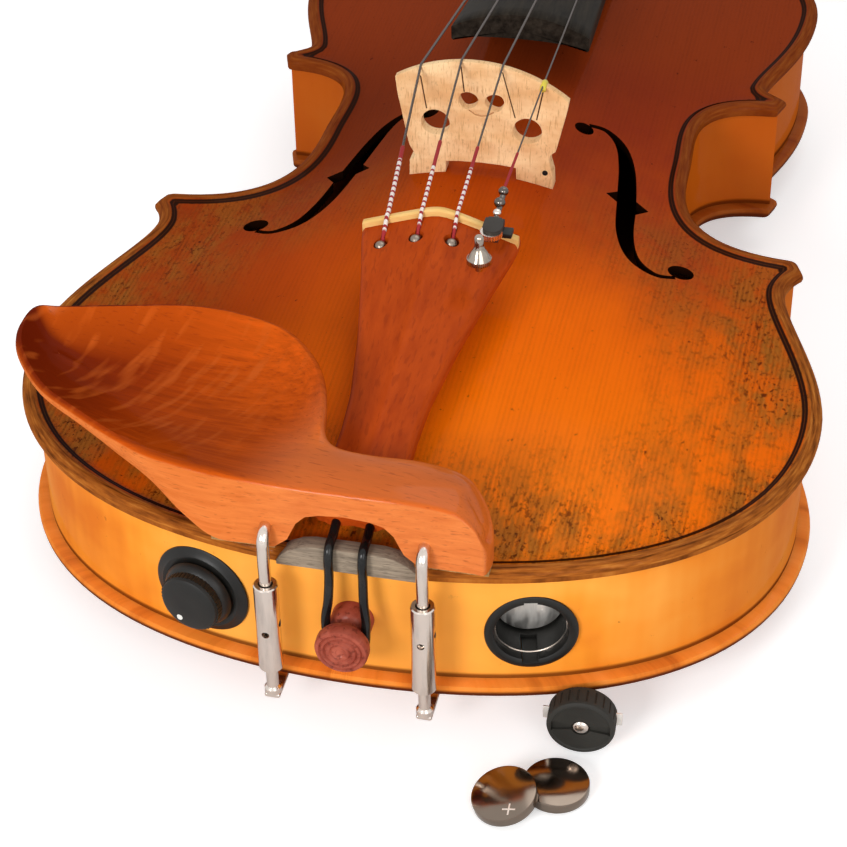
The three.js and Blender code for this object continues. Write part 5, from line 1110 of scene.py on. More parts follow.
def chin_rest():
    """The carved rest: rings from the underside up the wall, over the rim and down into the dish."""
    rows = chin_rows()
    rim, spine = rows[:, 0:2], rows[:, 3:5]
    rim_z, floor, under, low, tuck = (rows[:, k] for k in (2, 5, 6, 7, 8))
    away = spine - rim
    length = np.linalg.norm(away, axis=1)
    foot_share = 0.93

    def ring(inset, z, share=0.0):
        start = rim + away / length[:, None] * np.broadcast_to(inset, length.shape)[:, None]
        return np.column_stack([start + (spine - start) * share, CHIN_BASE + z])

    rings = [ring(tuck, low + (under - low) * share ** 0.6, share) for share in (1, 0.7, 0.4, 0.15)]
    rings += [ring(tuck + 0.5, low), ring(tuck * foot_share, low + 0.5)]
    for share in (0.2, 0.4, 0.6, 0.8):
        height = low + (rim_z - CHIN_ROUND - low) * share
        rings.append(ring(tuck * (1 - share) ** 1.3 * foot_share, height))
    for angle in (0, 22, 45, 67, 90):
        a = math.radians(angle)
        rings.append(ring(CHIN_ROUND * (1 - math.cos(a)), rim_z - CHIN_ROUND * (1 - math.sin(a))))
    for share in np.linspace(0, 1, 15)[1:]:
        sink = 1 - (1 - share) ** 2.2
        rings.append(ring(CHIN_ROUND, rim_z + (floor - rim_z) * sink, share))
    body = lofted("chin_rest", rings, capped=False)
    bell = [*CHIN_HALF_BELL, *mirrored(CHIN_HALF_BELL[:-1])]
    tunnel = sawn([[(x, CHIN_BASE + z) for x, z in bell]], 60)
    carve(body, placed(tunnel, shift(0, 10, 0) @ OUTWARD))
    settle(body, "chin_rest_carving", CHIN_WOOD, "chinrest", smooth=40)


# Bridge, tailpiece and strings

BRIDGE_BASE = 63.4
BRIDGE_HEIGHT = 34.5
BRIDGE_THICK, BRIDGE_THIN = 4.4, 1.7
CROWN_RADIUS, CROWN_X, CROWN_HALF = 42, -2, 24.5
TREBLE_SIDE = ((20.5, 2), (19.8, 4.6), (19.4, 6.6), (19.8, 8.2), (21.2, 9.4), (21.7, 11.6), (22.6, 15.6),
               (23.9, 21.5))
BASS_SIDE = ((-23.9, 23), (-22.4, 15.6), (-21.3, 9.8), (-20.6, 7), (-19.6, 5.2), (-18.9, 3.9),
             (-19.4, 2.9), (-20.6, 2.2))
HEART = ((-6.4, 22.6), (-5.8, 24.6), (-3.8, 25.3), (-1.7, 24.5), (-0.9, 22.8), (-2.2, 20.8),
         (-4.8, 20.1))
EYE_X, EYE_Z = 13.1, 14.8
KERFS = (((-17.3, 29), (-15.6, 18.9)), ((-5.8, 33), (-4.9, 25.2)), ((5.8, 32.4), (9.6, 18.6)),
         ((17.3, 28), (15.6, 18.6)))
KERF_WIDTH = 0.42


def crown_z(x):
    """Height of the bridge's round crown."""
    rise = math.sqrt(CROWN_RADIUS ** 2 - (x - CROWN_X) ** 2)
    return BRIDGE_BASE + BRIDGE_HEIGHT - CROWN_RADIUS + rise


def slit(points, width):
    """A narrow flat shape along a line, for saw kerfs."""
    return [(x - width / 2, z) for x, z in points] + [(x + width / 2, z) for x, z in reversed(points)]


def bridge():
    """The maple bridge: crown, waisted sides, eyes and split heart, thinner towards the crown."""
    foot = [(x, top_z(x, BRIDGE_Y + 2.2) + 0.15 - BRIDGE_BASE) for x in (10.2, 13, 15.6, 18.2, 20.7)]
    crown = [(x, crown_z(x) - BRIDGE_BASE) for x in np.linspace(CROWN_HALF, -CROWN_HALF, 33)]
    arch = [(-10.1, 3.0), (-6, 3.4), (0, 3.6), (6, 3.4), (10.1, 3.0)]
    outline = [*foot, *TREBLE_SIDE, *crown, *BASS_SIDE, *mirrored(foot), *arch]
    eye = [(4.15 * math.cos(a), 4.1 * math.sin(a) if a < math.pi else 3.7 * math.sin(a))
           for a in np.linspace(0, 2 * math.pi, 28, endpoint=False)]
    heart = [tuple(p) for p in spline_through(HEART, 4, closed=True)]
    link = [(-3.6, 19.6), (-1.8, 18.4), (0, 18.0), (1.8, 18.4), (3.6, 19.6)]
    smile = link + [(x, z + 0.45) for x, z in reversed(link)]
    holes = [[(side * EYE_X + x, EYE_Z + z) for x, z in eye] for side in SIDES.values()]
    board = sawn([outline, *holes, heart, [(-x, z) for x, z in heart]], BRIDGE_THICK)
    face = BRIDGE_THICK / 2
    cuts = [placed(sawn([slit(kerf, KERF_WIDTH)], 1.6), shift(0, 0, face)) for kerf in KERFS]
    # A thin dark sheet inside each kerf is painted shade at the bottom of the cut
    kerf_shade = joined(*(placed(sawn([slit(kerf, 0.4)], 0.4), shift(0, 0, face - 0.6)) for kerf in KERFS))
    carve(board, sawn([smile], 9), *cuts)
    for part in (board, kerf_shade):
        placed(part, shift(0, BRIDGE_Y, BRIDGE_BASE) @ OUTWARD)
        for corner in part.data.vertices:
            share = (corner.co.z - BRIDGE_BASE) / BRIDGE_HEIGHT
            thickness = (BRIDGE_THICK + (BRIDGE_THIN - BRIDGE_THICK) * share) / BRIDGE_THICK
            corner.co.y = BRIDGE_Y + (corner.co.y - BRIDGE_Y) * thickness
        part.data.update()
    modify(board, "BEVEL", width=0.22, segments=2, limit_method="ANGLE", angle_limit=math.radians(60))
    settle(board, "bridge_maple", BRIDGE_MAPLE, "bridge", smooth=30)
    settle(kerf_shade, "bridge_kerf_painted_shade", KERF_PAINTED_SHADE)
    guard_x = 17.3
    guard = drawn([(guard_x, BRIDGE_Y + y, z) for y, z in (
        (-2.2, 91.9), (-1.1, 92.75), (1.1, 92.75), (2.2, 91.9))], 0.85, sides=5)
    settle(guard, "string_guard_e", PALE_HORN)
    foot_plug = rod(0.8, (18.4, BRIDGE_Y - 2.25, 65.8), (18.4, BRIDGE_Y - 1.4, 65.8), 16)
    settle(foot_plug, "bridge_foot_plug", DARK)


TAIL_LOW_Y, TAIL_HIGH_Y = 6.8, 107
TAIL_LOW_Z, TAIL_HIGH_Z = 62.6, 83.9
TAIL_LOW_DROP, TAIL_HIGH_DROP = 2.4, 7.5
TAIL_RIDGE = 0.018
TAIL_DEPTH = 3.2
TAIL_HALVES = ((6.8, 9.4), (9, 10.2), (20, 9.6), (34, 9.5), (45, 10), (65, 13), (85, 17), (100, 20.4),
               (104, 20.9), (107, 21))
FRET_Y, FRET_HALF, FRET_RISE = 104, 1.1, 1.6
HOLE_Y = 96
HOLES = {"g": -14.1, "d": -4.7, "a": 4.7}


def tail_share(y):
    return (y - TAIL_LOW_Y) / (TAIL_HIGH_Y - TAIL_LOW_Y)


def tail_half(y):
    return float(np.interp(y, *np.array(TAIL_HALVES).T))


def tail_z(x, y):
    """Top of the tailpiece: a roof with a soft ridge that flattens towards the lower end."""
    share = tail_share(y)
    drop = TAIL_LOW_DROP + (TAIL_HIGH_DROP - TAIL_LOW_DROP) * share
    across = abs(x) / tail_half(y)
    slope = math.sqrt(across ** 2 + TAIL_RIDGE) - math.sqrt(TAIL_RIDGE)
    return TAIL_LOW_Z + (TAIL_HIGH_Z - TAIL_LOW_Z) * share - drop * slope


def roof_strip(half, sunk, proud, reach):
    """A strip across the tailpiece that keeps to its roof, from below it to above it."""
    sections = []
    for x in np.linspace(-reach, reach, 45):
        low, top = tail_z(x, FRET_Y) - sunk, tail_z(x, FRET_Y) + proud
        sections.append([(x, FRET_Y + y, z) for y, z in (
            (-half, low), (half, low), (half, top - 0.5), (half / 2, top), (-half / 2, top),
            (-half, top - 0.5))])
    return lofted("strip", sections)


def tailpiece():
    """The wooden tailpiece with its ridge, ball holes, and a groove for the fret."""
    rings = []
    for y in [6.8, 7.1, 7.9, *np.linspace(9, 106, 40), 106.6, 107]:
        half = tail_half(y)
        end = min(y - TAIL_LOW_Y, TAIL_HIGH_Y - y)
        pinch = 0.9 * (1 - min(1, end / 1.1)) ** 2
        half -= pinch
        top = [(x, tail_z(x, y) - pinch) for x in np.linspace(half - 0.8, -half + 0.8, 23)]
        edge = tail_z(half, y)
        low = edge - TAIL_DEPTH
        left = [(-half + 0.25, edge - 0.35), (-half, edge - 1.0), (-half, low + 0.6), (-half + 0.6, low)]
        under = [(x, min(low, tail_z(x, y) - 5.2) if abs(x) < half * 0.7 else low)
                 for x in np.linspace(-half + 1.6, half - 1.6, 9)]
        rings.append([(x, y, z) for x, z in [*top, *left, *under, *mirrored(left)]])
    body = lofted("tailpiece", rings)
    low, high = 60, 95
    cutters = [rod(2.0, (x, HOLE_Y, low), (x, HOLE_Y, high)) for x in HOLES.values()]
    cutters += [block((x - 0.6, HOLE_Y, low), (x + 0.6, HOLE_Y + 4.6, high)) for x in HOLES.values()]
    carve(body, *cutters, roof_strip(FRET_HALF + 0.05, 1.5, 12, 24))
    settle(body, "tailpiece_board", TAIL_WOOD, "tailpiece", smooth=32)
    fret = roof_strip(FRET_HALF, 1.45, FRET_RISE, 20.8)
    settle(fret, "tailpiece_fret_strip", BOXWOOD, "tailpiece_fret")
    for name, x in HOLES.items():
        end = ball(1.6, (x - 0.1, HOLE_Y - 0.05, tail_z(x, HOLE_Y) - 1.2), 20, 12)
        settle(end, f"string_ball_{name}", DULL_BRASS, smooth=60)


SILK_WIDTH, METAL_WIDTH = 1.3, 0.8
STRING_PLACES = {"g": -1.5, "d": -0.5, "a": 0.5, "e": 1.5}
TAIL_STEP, BRIDGE_STEP, NUT_STEP = 9.4, 11.55, 5.5
BOARD_Y, BOARD_LENGTH = 215.5, 270
BOARD_END_HALF, BOARD_NUT_HALF = 21, 12
BOARD_END_Z, BOARD_NUT_Z = 72.7, 44.85
BOARD_EDGE, BOARD_RADIUS = 5, 42
NUT_Y = BOARD_Y + BOARD_LENGTH
NUT_LENGTH, NUT_RISE = 5.5, 0.7
PEGBOX_LENGTH, PEGBOX_HALF, PEGBOX_END_HALF, PEGBOX_WALL = 71, 12.2, 7.2, 4
PEG_STATIONS = {"g": 15.5, "e": 28.5, "d": 43.5, "a": 56.5}
PEG_HEIGHTS = {"g": 34.6, "e": 32, "d": 29.6, "a": 28}
PEG_SIDES = {"g": -1, "e": 1, "d": -1, "a": 1}
PEG_TURNS = {"g": 10, "e": 35, "d": -20, "a": 60}
PEG_RADIUS = 3.9
TUNER_X, TUNER_HOOK_Y, TUNER_HOOK_Z = 14.4, 113, 86


def board_share(y):
    return (y - BOARD_Y) / BOARD_LENGTH


def board_half(y):
    return BOARD_END_HALF + (BOARD_NUT_HALF - BOARD_END_HALF) * board_share(y)


def board_glue_z(y):
    return BOARD_END_Z + (BOARD_NUT_Z - BOARD_END_Z) * board_share(y)


def round_drop(x):
    return BOARD_RADIUS - math.sqrt(BOARD_RADIUS ** 2 - x ** 2)


def board_top_z(x, y):
    return board_glue_z(y) + BOARD_EDGE + round_drop(board_half(y)) - round_drop(x)


def nut_z(x):
    return board_top_z(0, NUT_Y) + NUT_RISE - round_drop(x)


def pegbox_half(y):
    return PEGBOX_HALF + (PEGBOX_END_HALF - PEGBOX_HALF) * min(1, (y - NUT_Y) / PEGBOX_LENGTH)


def string(name):
    """One string from the tailpiece over bridge and nut to its turns round the peg."""
    place, radius = STRING_PLACES[name], STRING_RADII[name]
    lift = radius + 0.1
    tail_x, bridge_x, nut_x = place * TAIL_STEP, place * BRIDGE_STEP, place * NUT_STEP
    if name == "e":
        start = [(TUNER_X + 0.8, TUNER_HOOK_Y - 0.8, TUNER_HOOK_Z + 1),
                 (TUNER_X + 0.75, TUNER_HOOK_Y + 1, TUNER_HOOK_Z + 1.1)]
    else:
        hole_z, fret_z = tail_z(tail_x, HOLE_Y), tail_z(tail_x, FRET_Y) + FRET_RISE + lift
        start = [(tail_x, HOLE_Y + 0.8, hole_z - 2.4), (tail_x, HOLE_Y + 2.6, hole_z + 0.1),
                 (tail_x, FRET_Y - 1, fret_z - 0.15), (tail_x, FRET_Y + 1, fret_z + 0.1)]
    peg_y, peg_z = NUT_Y + PEG_STATIONS[name], PEG_HEIGHTS[name]
    spool = PEG_RADIUS + lift
    side = PEG_SIDES[name]
    spool_x = side * (pegbox_half(peg_y) - PEGBOX_WALL - 4 * radius - 0.3)
    run = [*start, (bridge_x, BRIDGE_Y, crown_z(bridge_x) + lift - 0.25),
           (nut_x, NUT_Y, nut_z(nut_x) + lift), (nut_x, NUT_Y + NUT_LENGTH, nut_z(nut_x) + lift)]
    steps = 16
    pitch = -side * 3 * radius
    for i in range(2 * steps + 1):
        angle = 2 * math.pi * i / steps
        run.append((spool_x + pitch * i / steps, peg_y + spool * math.sin(angle),
                    peg_z + spool * math.cos(angle)))
    # Two points close together end the thicker silk
    tail_end, crown = Vector(start[-1]), Vector(run[len(start)])
    for k, offset in enumerate((-0.15, 0.15)):
        share = (SILK_ENDS[name] + offset - tail_end.y) / (crown.y - tail_end.y)
        run.insert(len(start) + k, tuple(tail_end.lerp(crown, share)))
    radii = [SILK_WIDTH] * (len(start) + 1) + [METAL_WIDTH] * (len(run) - len(start) - 1)
    wire = drawn(run, radius, 4, smooth=False, radii=radii)
    settle(wire, f"string_{name}_wire", STRING_FINISH[name], f"string_{name}", smooth=50)


# Saddle, tail gut and end button

SADDLE_SIDE = ((17.5, 49.2), (16.6, 51.0), (14.5, 52.9), (11.5, 54.4), (8.4, 55.0))
SADDLE_LOW = 48.2
BUTTON_Z = 31.5


def saddle():
    """The ebony block at the edge of the top that carries the tail gut."""
    outline = [(-17.5, SADDLE_LOW), (17.5, SADDLE_LOW), *SADDLE_SIDE, *mirrored(SADDLE_SIDE)]
    bar = sawn([outline], 4.4, bevel=0.5)
    settle(placed(bar, shift(0, 2.2, 0) @ OUTWARD), "saddle_bar", SADDLE_EBONY, "saddle")


def tail_gut():
    """The black cord: two strands over the saddle, joined in a loop round the button."""
    spread, radius = 4.1, 1.15
    loop = 3.3 + radius + 0.3
    half = [(spread, 11, 59.4), (spread, 6.5, 57.6), (spread, 3.4, 56.5), (spread, 0.2, 56.2),
            (spread, -1.2, 54.8), (spread, -1.6, 48), (spread + 0.2, -2.4, 42),
            (loop + 0.15, -3.5, 34.6), (loop * 0.72, -3.7, BUTTON_Z - loop * 0.72)]
    other = [(-x, y, z) for x, y, z in reversed(half)]
    cord = drawn([*half, (0, -3.7, BUTTON_Z - loop), *other], radius)
    settle(cord, "tail_cord", GUT_BLACK, "tailgut", smooth=50)


def end_button():
    """Turned hardwood button with rings cut into its face."""
    stem = ((3.9, -12), (3.9, -3.6), (5.2, -3.6), (5.2, 0.6), (4.6, 1.6), (3.5, 2.1), (3.3, 3.2),
            (3.5, 4.6), (5.2, 5.3), (6.3, 5.8), (6.6, 6.6))
    rings = ((6.55, 8.6), (6.2, 9.25), (5.5, 9.5), (5.15, 9.1), (4.85, 9.5), (4.3, 9.6), (3.95, 9.15),
             (3.6, 9.55), (2.7, 9.6), (2.35, 9.2), (2.0, 9.55), (1.3, 9.6), (1.0, 9.35), (0.4, 9.4))
    button = placed(turned(stem + rings, 48), shift(0, 0, BUTTON_Z) @ OUTWARD)
    settle(button, "button_turning", BUTTON_WOOD, "end_button", smooth=40)


# Chin rest clamps

CLAMP_X, CLAMP_Y = 19, -4.2
PIN_HOLES = {"bass": 31.5, "treble": 35}


def clamps():
    """Each clamp: a bent rod over the rest's arm, a barrel with two pin holes, and a foot."""
    y = CLAMP_Y
    for side_name, side in SIDES.items():
        x, hole_z = side * CLAMP_X, PIN_HOLES[side_name]
        hook = drawn([(x, y, 34), (x, y, 46), (x, y, 56), (x, y + 0.5, 58.9), (x, y + 2.6, 60.5),
                      (x, y + 6, 60.5), (x, 6, 60.5)], 1.5, sides=8)
        settle(hook, f"clamp_hook_rod_{side_name}", NICKEL, f"clamp_hook_{side_name}",
               smooth=50)
        sleeve = turned(((1.8, 0), (2.7, 0), (3, 0.3), (3, 26.2), (2.7, 26.5), (1.8, 26.5), (1.8, 0.02)),
                        40, capped=False)
        tidy_mesh(placed(sleeve, shift(x, y, 19)), 0.05)
        carve(sleeve, rod(0.95, (x, y - 6, hole_z), (x, y + 6, hole_z), 20),
              rod(0.95, (x - 6, y, hole_z + 2), (x + 6, y, hole_z + 2), 20))
        barrel = f"clamp_barrel_{side_name}"
        settle(sleeve, f"clamp_barrel_sleeve_{side_name}", NICKEL, barrel, barrel, 40)
        sole = block((x - 2, y - 1.5, 9.3), (x + 2, y + 13, 10.7), 0.6, 4)
        stem = rod(1.5, (x, y, 10), (x, y, 28))
        collar = turned(((1.5, 10.7), (2.1, 10.7), (2.1, 12.2), (1.5, 12.8)), 24)
        carve(sole, stem, placed(collar, shift(x, y, 0)), operation="UNION")
        foot = f"clamp_foot_{side_name}"
        settle(sole, f"clamp_foot_plate_{side_name}", NICKEL, foot, foot, 40)


# Controls in the ribs

def volume_knob():
    """A dished bezel and a knurled knob with a painted dot."""
    bezel = turned(((12.6, 0.3), (12.8, 0.5), (12.7, 0.8), (12.2, 1.1), (11.2, 1.4), (10.6, 1.95),
                    (10.1, 2.0), (9.4, 1.75), (6, 1.75)), 72)
    settle(placed(bezel, KNOB_SEAT), "volume_bezel_ring", BLACK_PLASTIC, "knob_bezel")
    knob = turned(((8.9, 2.3), (9.2, 2.6), (9.0, 3.4), (8.4, 4.4), (7.9, 4.8), (7.85, 6.6), (7.5, 7.4),
                   (6.6, 7.9), (2, 7.85)), 64)
    carve(knob, knurled(8.05, 0.22, 44, 4.9, 6.8), operation="UNION")
    settle(placed(knob, KNOB_SEAT), "volume_knob_cap", BLACK_PLASTIC, "volume_knob",
           "volume_knob", 30)
    dot = turned(((0.8, 7.8), (0.8, 7.96), (0.65, 8.0)), 20)
    settle(placed(dot, KNOB_SEAT @ shift(-2.6, -4.6, 0)), "volume_knob_mark", WHITE_PAINT,
           body="volume_knob")


def battery_socket():
    """A flanged cup with bayonet notches, the contact at its end and a wire ring near its mouth."""
    cup = turned(((9.4, -15), (10, -14.4), (10, 0.3), (11.3, 0.3), (11.4, 0.45), (11.3, 0.8),
                  (10.8, 1.1), (9.6, 1.1), (9.0, 0.7), (8.9, 0.2), (8.9, -13.4), (0.5, -13.4)), 72)
    carve(cup, block((-1.9, 8, -4), (1.3, 9.7, 3)), block((-2.2, -9.8, -8), (1.8, -8, 3)),
          block((-9.6, -0.8, -13), (-8, 0.8, -2)))
    settle(placed(cup, SOCKET_SEAT), "battery_socket_cup", BLACK_PLASTIC,
           "battery_socket")
    disc = turned(((8.4, -12.6), (8.4, -9.6), (8, -9.2), (5, -8.6), (0.5, -8.4)), 48)
    settle(placed(disc, SOCKET_SEAT), "battery_contact_disc", BRUSHED, "battery_contact")
    lip = turned(((8.8, -1.9), (8.8, -1.5), (8.55, -1.5), (8.55, -1.9), (8.8, -1.89)), 64, capped=False)
    settle(placed(tidy_mesh(lip, 0.02), SOCKET_SEAT), "battery_socket_ring", NICKEL)


# Battery cap and cells in front of the violin

CAP_PLACE = shift(56.4, 0.2, 8.4) @ rotation(3, "Z") @ OUTWARD
CAP_RADIUS, CAP_NOTCHES = 8.4, 24


def battery_cap():
    """A notched drum with a coin slot in its face, a contact bar through it and a rivet."""
    drum = turned(((8.0, -6.2), (CAP_RADIUS, -5.8), (CAP_RADIUS, -0.9), (8.2, -0.4), (7.7, -0.1),
                   (7.2, 0), (6.9, -0.25), (6.6, -0.3), (0.6, -0.3)), 72)
    half_groove = [(-7.2, 1.5), (-2.2, 0.7), (2.2, 0.7), (7.2, 1.5)]
    groove = sawn([half_groove + [(x, -y) for x, y in reversed(half_groove)]], 2)
    carve(drum, groove, rod(2.3, (0, 0, -1.6), (0, 0, 2), 32), block((-9, -2.3, -5.2), (9, 2.3, -4.4)))
    angles = [2 * math.pi * (i + 0.5) / CAP_NOTCHES for i in range(CAP_NOTCHES)]
    for x, y in round_points(CAP_RADIUS, angles):
        carve(drum, rod(0.28, (x, y, -5), (x, y, -1.4), 8))
    bar = block((-9.7, -1.9, -4.96), (9.7, 1.9, -4.45), 0.15)
    rivet = turned(((2.1, -1.55), (2.1, -0.7), (1.8, -0.2), (1.2, 0.1), (0.4, 0.2)), 32)
    for obj, name, material, slot, stands_for, smooth in (
        (drum, "battery_cap_drum", MATT_PLASTIC, "black_plastic", "battery_cap", 30),
        (bar, "battery_cap_contact", BRUSHED, "nickel", "cap_contact_bar", 35),
        (rivet, "battery_cap_rivet", NICKEL, "nickel", "cap_rivet", 50),
    ):
        settle(placed(obj, CAP_PLACE), name, material, stands_for, "battery_cap", smooth)


def coin_cells():
    """Two button cells: a rolled can with a crimped rim; a plain raised plus stands on one."""
    spin, lean = 34, -15.5
    places = {"coin_cell_flat": shift(53, -13, 0),
              "coin_cell_leaning": shift(42.3, -20.3, 1.92) @ rotation(spin, "Z") @ rotation(lean, "Y")}
    for name, place in places.items():
        can = turned(((6.9, 0), (7.3, 0.1), (7.45, 0.45), (7.9, 0.55), (8, 0.8), (8, 2.75), (7.9, 3.05),
                      (7.6, 3.2), (1, 3.2)), 96)
        settle(placed(can, place), f"{name}_can", STEEL, name, name, 30)
    plus = joined(block((-1.6, -0.2, 3.15), (1.6, 0.2, 3.22)), block((-0.2, -1.6, 3.15), (0.2, 1.6, 3.225)))
    placed(plus, places["coin_cell_leaning"] @ rotation(-spin, "Z") @ shift(2.2, -4.8, 0))
    settle(plus, "coin_cell_leaning_plus", BRUSHED, body="coin_cell_leaning")


# Fine tuner

TUNER_BASE = 80.9
SCREW_Y = 84


def fine_tuner():
    """Bracket, a lever with its shield and two balls that hold the string, and a flared screw."""
    x, base = TUNER_X, TUNER_BASE
    hook_x = x + 0.8
    bracket = block((x - 2.2, 96.5, base), (x + 2.4, 105, base + 1.0), 0.3)
    ears = [block((x + s * 2.1 - 0.5, 99.5, base + 0.2), (x + s * 2.1 + 0.5, 105, base + 2.2), 0.3)
            for s in SIDES.values()]
    lug = block((x + 2.3, 100.2, base - 0.8), (x + 5.2, 103.8, base + 0.6), 0.3)
    carve(bracket, *ears, lug, operation="UNION")
    settle(bracket, "fine_tuner_bracket", BLACK_PLASTIC, "fine_tuner_frame")
    edge = [(1.7, 3), (2.5, 1), (2.6, -1), (2.2, -2.4), (1.2, -3.2), (0, -3.4)]
    shield = sawn([[*edge, *mirrored(edge[:-1])]], 1.3, 0.25)
    placed(shield, shift(hook_x, 98.2, base + 4.1) @ rotation(6, "X"))
    settle(shield, "fine_tuner_shield", BROWNED_STEEL, body="tuner_lever")
    ring = placed(knurled(2.9, 0.3, 26, 0, 1.4), shift(hook_x - 0.2, 96.4, base + 2.2))
    pivot = joined(ring, ball(1.1, (hook_x, 103.2, base + 4.9)))
    settle(pivot, "fine_tuner_pivot", NICKEL, body="tuner_lever", smooth=50)
    arm = drawn([(hook_x, 97, base + 3.8), (hook_x, 102, base + 4), (hook_x, 105, base + 4.2),
                 (hook_x, 108.5, 85.6), (hook_x, 112, 86.6)], 0.75, sides=5)
    lever = joined(arm, ball(1.5, (hook_x - 0.2, 107.8, 86)), ball(1.35, (hook_x, 111.8, 87)))
    settle(lever, "fine_tuner_hook", DARK_NICKEL, "fine_tuner_lever", "tuner_lever", 50)
    screw = turned(((1.0, 80.6), (1.0, 82.5), (2.7, 82.7), (3.0, 83), (3.0, 84.3), (2.8, 84.6),
                    (2.5, 85.4), (1.9, 86.4), (1.4, 87.2), (1.2, 88.4), (1.2, 90.4), (0.9, 90.8)), 40)
    carve(screw, knurled(3.2, 0.25, 36, 83, 84.3), operation="UNION")
    settle(placed(screw, shift(x, SCREW_Y, 0)), "fine_tuner_thumbscrew", WORN_NICKEL,
           "fine_tuner_screw", "tuner_screw", 40)


# Fingerboard, nut and pegs

BODY_JOINT_Y = 343.5
SCOOP = 2.34


def fingerboard():
    """The board with its round top, hollowed underneath where it hangs over the body."""
    rings = []
    free = [BOARD_Y, BOARD_Y + 0.4, BOARD_Y + 1.2, *np.linspace(BOARD_Y + 6, BODY_JOINT_Y - 3, 12)]
    glued = [BODY_JOINT_Y, BODY_JOINT_Y + 1, *np.linspace(BODY_JOINT_Y + 8, NUT_Y - 0.05, 10)]
    for y in free + glued:
        half = board_half(y)
        pinch = 0.5 * max(0, 1 - (y - BOARD_Y) / 1.2)
        scoop = SCOOP if y < BODY_JOINT_Y else 0
        low, edge = board_glue_z(y), board_top_z(half, y)
        under = [(x, low + scoop * (1 - (x / half) ** 2) ** 0.5)
                 for x in np.linspace(half - 1.2, -half + 1.2, 11)]
        top = [(x, board_top_z(x, y) - pinch) for x in np.linspace(-half + 0.5, half - 0.5, 21)]
        section = [(half, low + 0.5), (half - 0.5, low), *under, (-half + 0.5, low), (-half, low + 0.5),
                   (-half, edge - 0.6), *top, (half, edge - 0.6)]
        rings.append([(x, y, z) for x, z in section])
    settle(lofted("fingerboard", rings), "fingerboard_blade", EBONY, "fingerboard")


def nut():
    """The ebony bar that holds the strings at the end of the fingerboard."""
    half = BOARD_NUT_HALF
    low = BOARD_NUT_Z + 0.05
    outline = [(-half, low), (half, low), *((x, nut_z(x)) for x in np.linspace(half, -half, 25))]
    bar = sawn([outline], NUT_LENGTH, 0.3)
    settle(placed(bar, shift(0, NUT_Y + NUT_LENGTH / 2, 0) @ OUTWARD), "nut_bar", EBONY, "nut")


def peg(name):
    """A turned peg: collar, stem and a flat thumb piece with a pin at its end."""
    y, z, side = NUT_Y + PEG_STATIONS[name], PEG_HEIGHTS[name], PEG_SIDES[name]
    wall = pegbox_half(y)
    end = wall + 9
    whole = turned(((3.1, -wall - 2.7), (3.2, -wall - 2.4), (3.75, wall + 2.7), (5.2, wall + 2.7),
                    (5.4, wall + 3.2), (5.4, wall + 4.0), (4.9, wall + 4.5), (3.7, wall + 5.2),
                    (3.2, wall + 6.5), (2.9, end - 2), (3.1, end), (2.2, end + 2.5)), 40)
    thumb = ball(1, segments=36, rings=20)
    for corner in thumb.data.vertices:
        across, along, out = corner.co
        hollow = 1 - 0.45 * math.exp(-(along / 0.55) ** 2)
        corner.co = (across * 4.5 * (0.6 + 0.4 * abs(along)) * hollow, along * 10.5,
                     out * 6.5 * (1 - 0.15 * along ** 2))
    placed(thumb, shift(0, 0, end + 13 / 3))
    pin = turned(((1.5, end + 9.5), (1.6, end + 10.9), (1.1, end + 11.5), (0.4, end + 11.7)), 24)
    carve(whole, thumb, pin, operation="UNION")
    placed(whole, shift(0, y, z) @ rotation(PEG_TURNS[name] + 90, "X") @ rotation(90 * side, "Y"))
    settle(whole, f"peg_{name}_turning", BUTTON_WOOD, f"peg_{name}", f"peg_{name}", 40)


def kept_solids():
    """The solids that are shown as they are get their own woods, metals and plastics."""
    blocks = [f"{end}_block" for end in ("end", "neck")]
    blocks += [f"{bout}_corner_block_{side}" for bout in ("lower", "upper") for side in SIDES]
    finishes = {
        NECK_MAPLE: ["neck"],
        BARE_SPRUCE: [*blocks, "bass_bar", "sound_post"],
        NICKEL: ["jack_nut"],
        BRUSHED: ["potentiometer"],
        BLACK_PLASTIC: ["output_jack"],
        CIRCUIT: ["preamp_board"],
        RED_WIRE: ["battery_lead"],
        BLACK_WIRE: ["jack_lead"],
        CORK: ["chinrest_pad_bass", "chinrest_pad_treble"],
    }
    for finish_material, names in finishes.items():
        for name in names:
            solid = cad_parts[name]
            solid.data.materials.clear()
            solid.data.materials.append(finish_material)


# The camera stands where the outline, the corners and the bridge meet the photo

CAMERA_PLACE = (111.865, -393.384, 408.702)
CAMERA_YAW, CAMERA_PITCH, CAMERA_ROLL = -0.23178, 0.65861, -0.0186
CAMERA_FOCAL = 2315.19
FRAME_PIXELS = 847
SENSOR = 36


def camera():
    """The photo's camera, from its place, its three turns and its focal length in pixels."""
    forward = Vector((math.sin(CAMERA_YAW) * math.cos(CAMERA_PITCH),
                      math.cos(CAMERA_YAW) * math.cos(CAMERA_PITCH), -math.sin(CAMERA_PITCH)))
    level = Vector((math.cos(CAMERA_YAW), -math.sin(CAMERA_YAW), 0))
    upright = level.cross(forward)
    right = level * math.cos(CAMERA_ROLL) + upright * math.sin(CAMERA_ROLL)
    up = -level * math.sin(CAMERA_ROLL) + upright * math.cos(CAMERA_ROLL)
    data = bpy.data.cameras.new("camera")
    data.sensor_fit = "HORIZONTAL"
    data.sensor_width = SENSOR
    data.lens = CAMERA_FOCAL / FRAME_PIXELS * SENSOR
    data.clip_start, data.clip_end = 0.01, 20
    obj = bpy.data.objects.new("camera", data)
    turn = Matrix((right, up, -forward)).transposed().to_4x4()
    obj.matrix_world = Matrix.Translation(TO_FRAME @ Vector(CAMERA_PLACE)) @ turn
    bpy.context.collection.objects.link(obj)
    bpy.context.scene.camera = obj


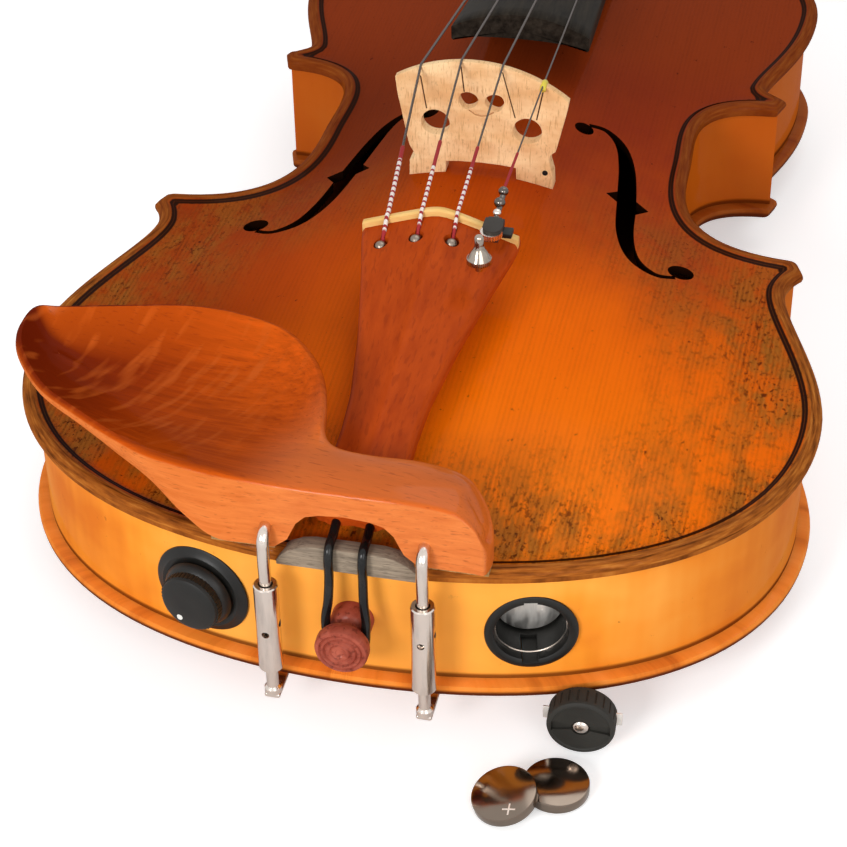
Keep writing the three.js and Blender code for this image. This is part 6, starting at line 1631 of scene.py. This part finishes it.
# Name, place and size in metres, and power in watts
LAMPS = (("key", (-0.45, -1.3, 0.65), 0.5, 10), ("side", (0.7, -1.1, 0.6), 0.9, 5),
         ("above", (0.25, 0.35, 1.2), 1.0, 3))
LIT_SPOT = Vector((0, -0.06, 0.05))
# The camera sees a white sky and a floor that glows a little; the violin is lit by a dimmer sky
SKY_SHADE, FLOOR_GLOW = 0.45, 0.42


def lamp(name, place, size, power):
    """A round soft light that faces the lower half of the violin."""
    data = bpy.data.lights.new(name, "AREA")
    data.shape = "DISK"
    data.size = size
    data.energy = power
    obj = bpy.data.objects.new(name, data)
    obj.location = place
    obj.rotation_euler = (LIT_SPOT - Vector(place)).to_track_quat("-Z", "Y").to_euler()
    bpy.context.collection.objects.link(obj)


def studio():
    """A white floor that keeps the violin's shadow, a low front light, two weaker ones, a pale sky."""
    floor_material, tree = new_material("studio_floor")
    seen = node(tree, "LightPath", out="Is Camera Ray")
    glow = node(tree, "Math", {0: seen, 1: FLOOR_GLOW}, operation="MULTIPLY")
    plug(tree, tree.nodes["Principled BSDF"], {
        "Base Color": "F4F4F4", "Roughness": 0.9, "Specular IOR Level": 0.1,
        "Emission Color": "FFFFFF", "Emission Strength": glow})
    floor = added(bpy.ops.mesh.primitive_plane_add, size=8, location=(0, 0, -0.0004))
    floor.name = "floor"
    floor.data.materials.append(floor_material)
    world = bpy.data.worlds.new("studio")
    bpy.context.scene.world = world
    world.use_nodes = True
    tree = world.node_tree
    seen = node(tree, "LightPath", out="Is Camera Ray")
    for other in ("Is Glossy Ray", "Is Transmission Ray"):
        ray = node(tree, "LightPath", out=other)
        seen = node(tree, "Math", {0: seen, 1: ray}, operation="MAXIMUM")
    dim, white = colour(SKY_SHADE), colour(1.0)
    plug(tree, tree.nodes["Background"], {"Color": laid_over(tree, dim, white, seen), "Strength": 1.0})
    for values in LAMPS:
        lamp(*values)
    bpy.context.scene.view_settings.view_transform = "Standard"


camera()
studio()
top_plate()
back_plate()
ribs()
chin_rest()
bridge()
tailpiece()
for letter in "gdae":
    string(letter)
    peg(letter)
saddle()
tail_gut()
end_button()
clamps()
volume_knob()
battery_socket()
battery_cap()
coin_cells()
fine_tuner()
fingerboard()
nut()
kept_solids()
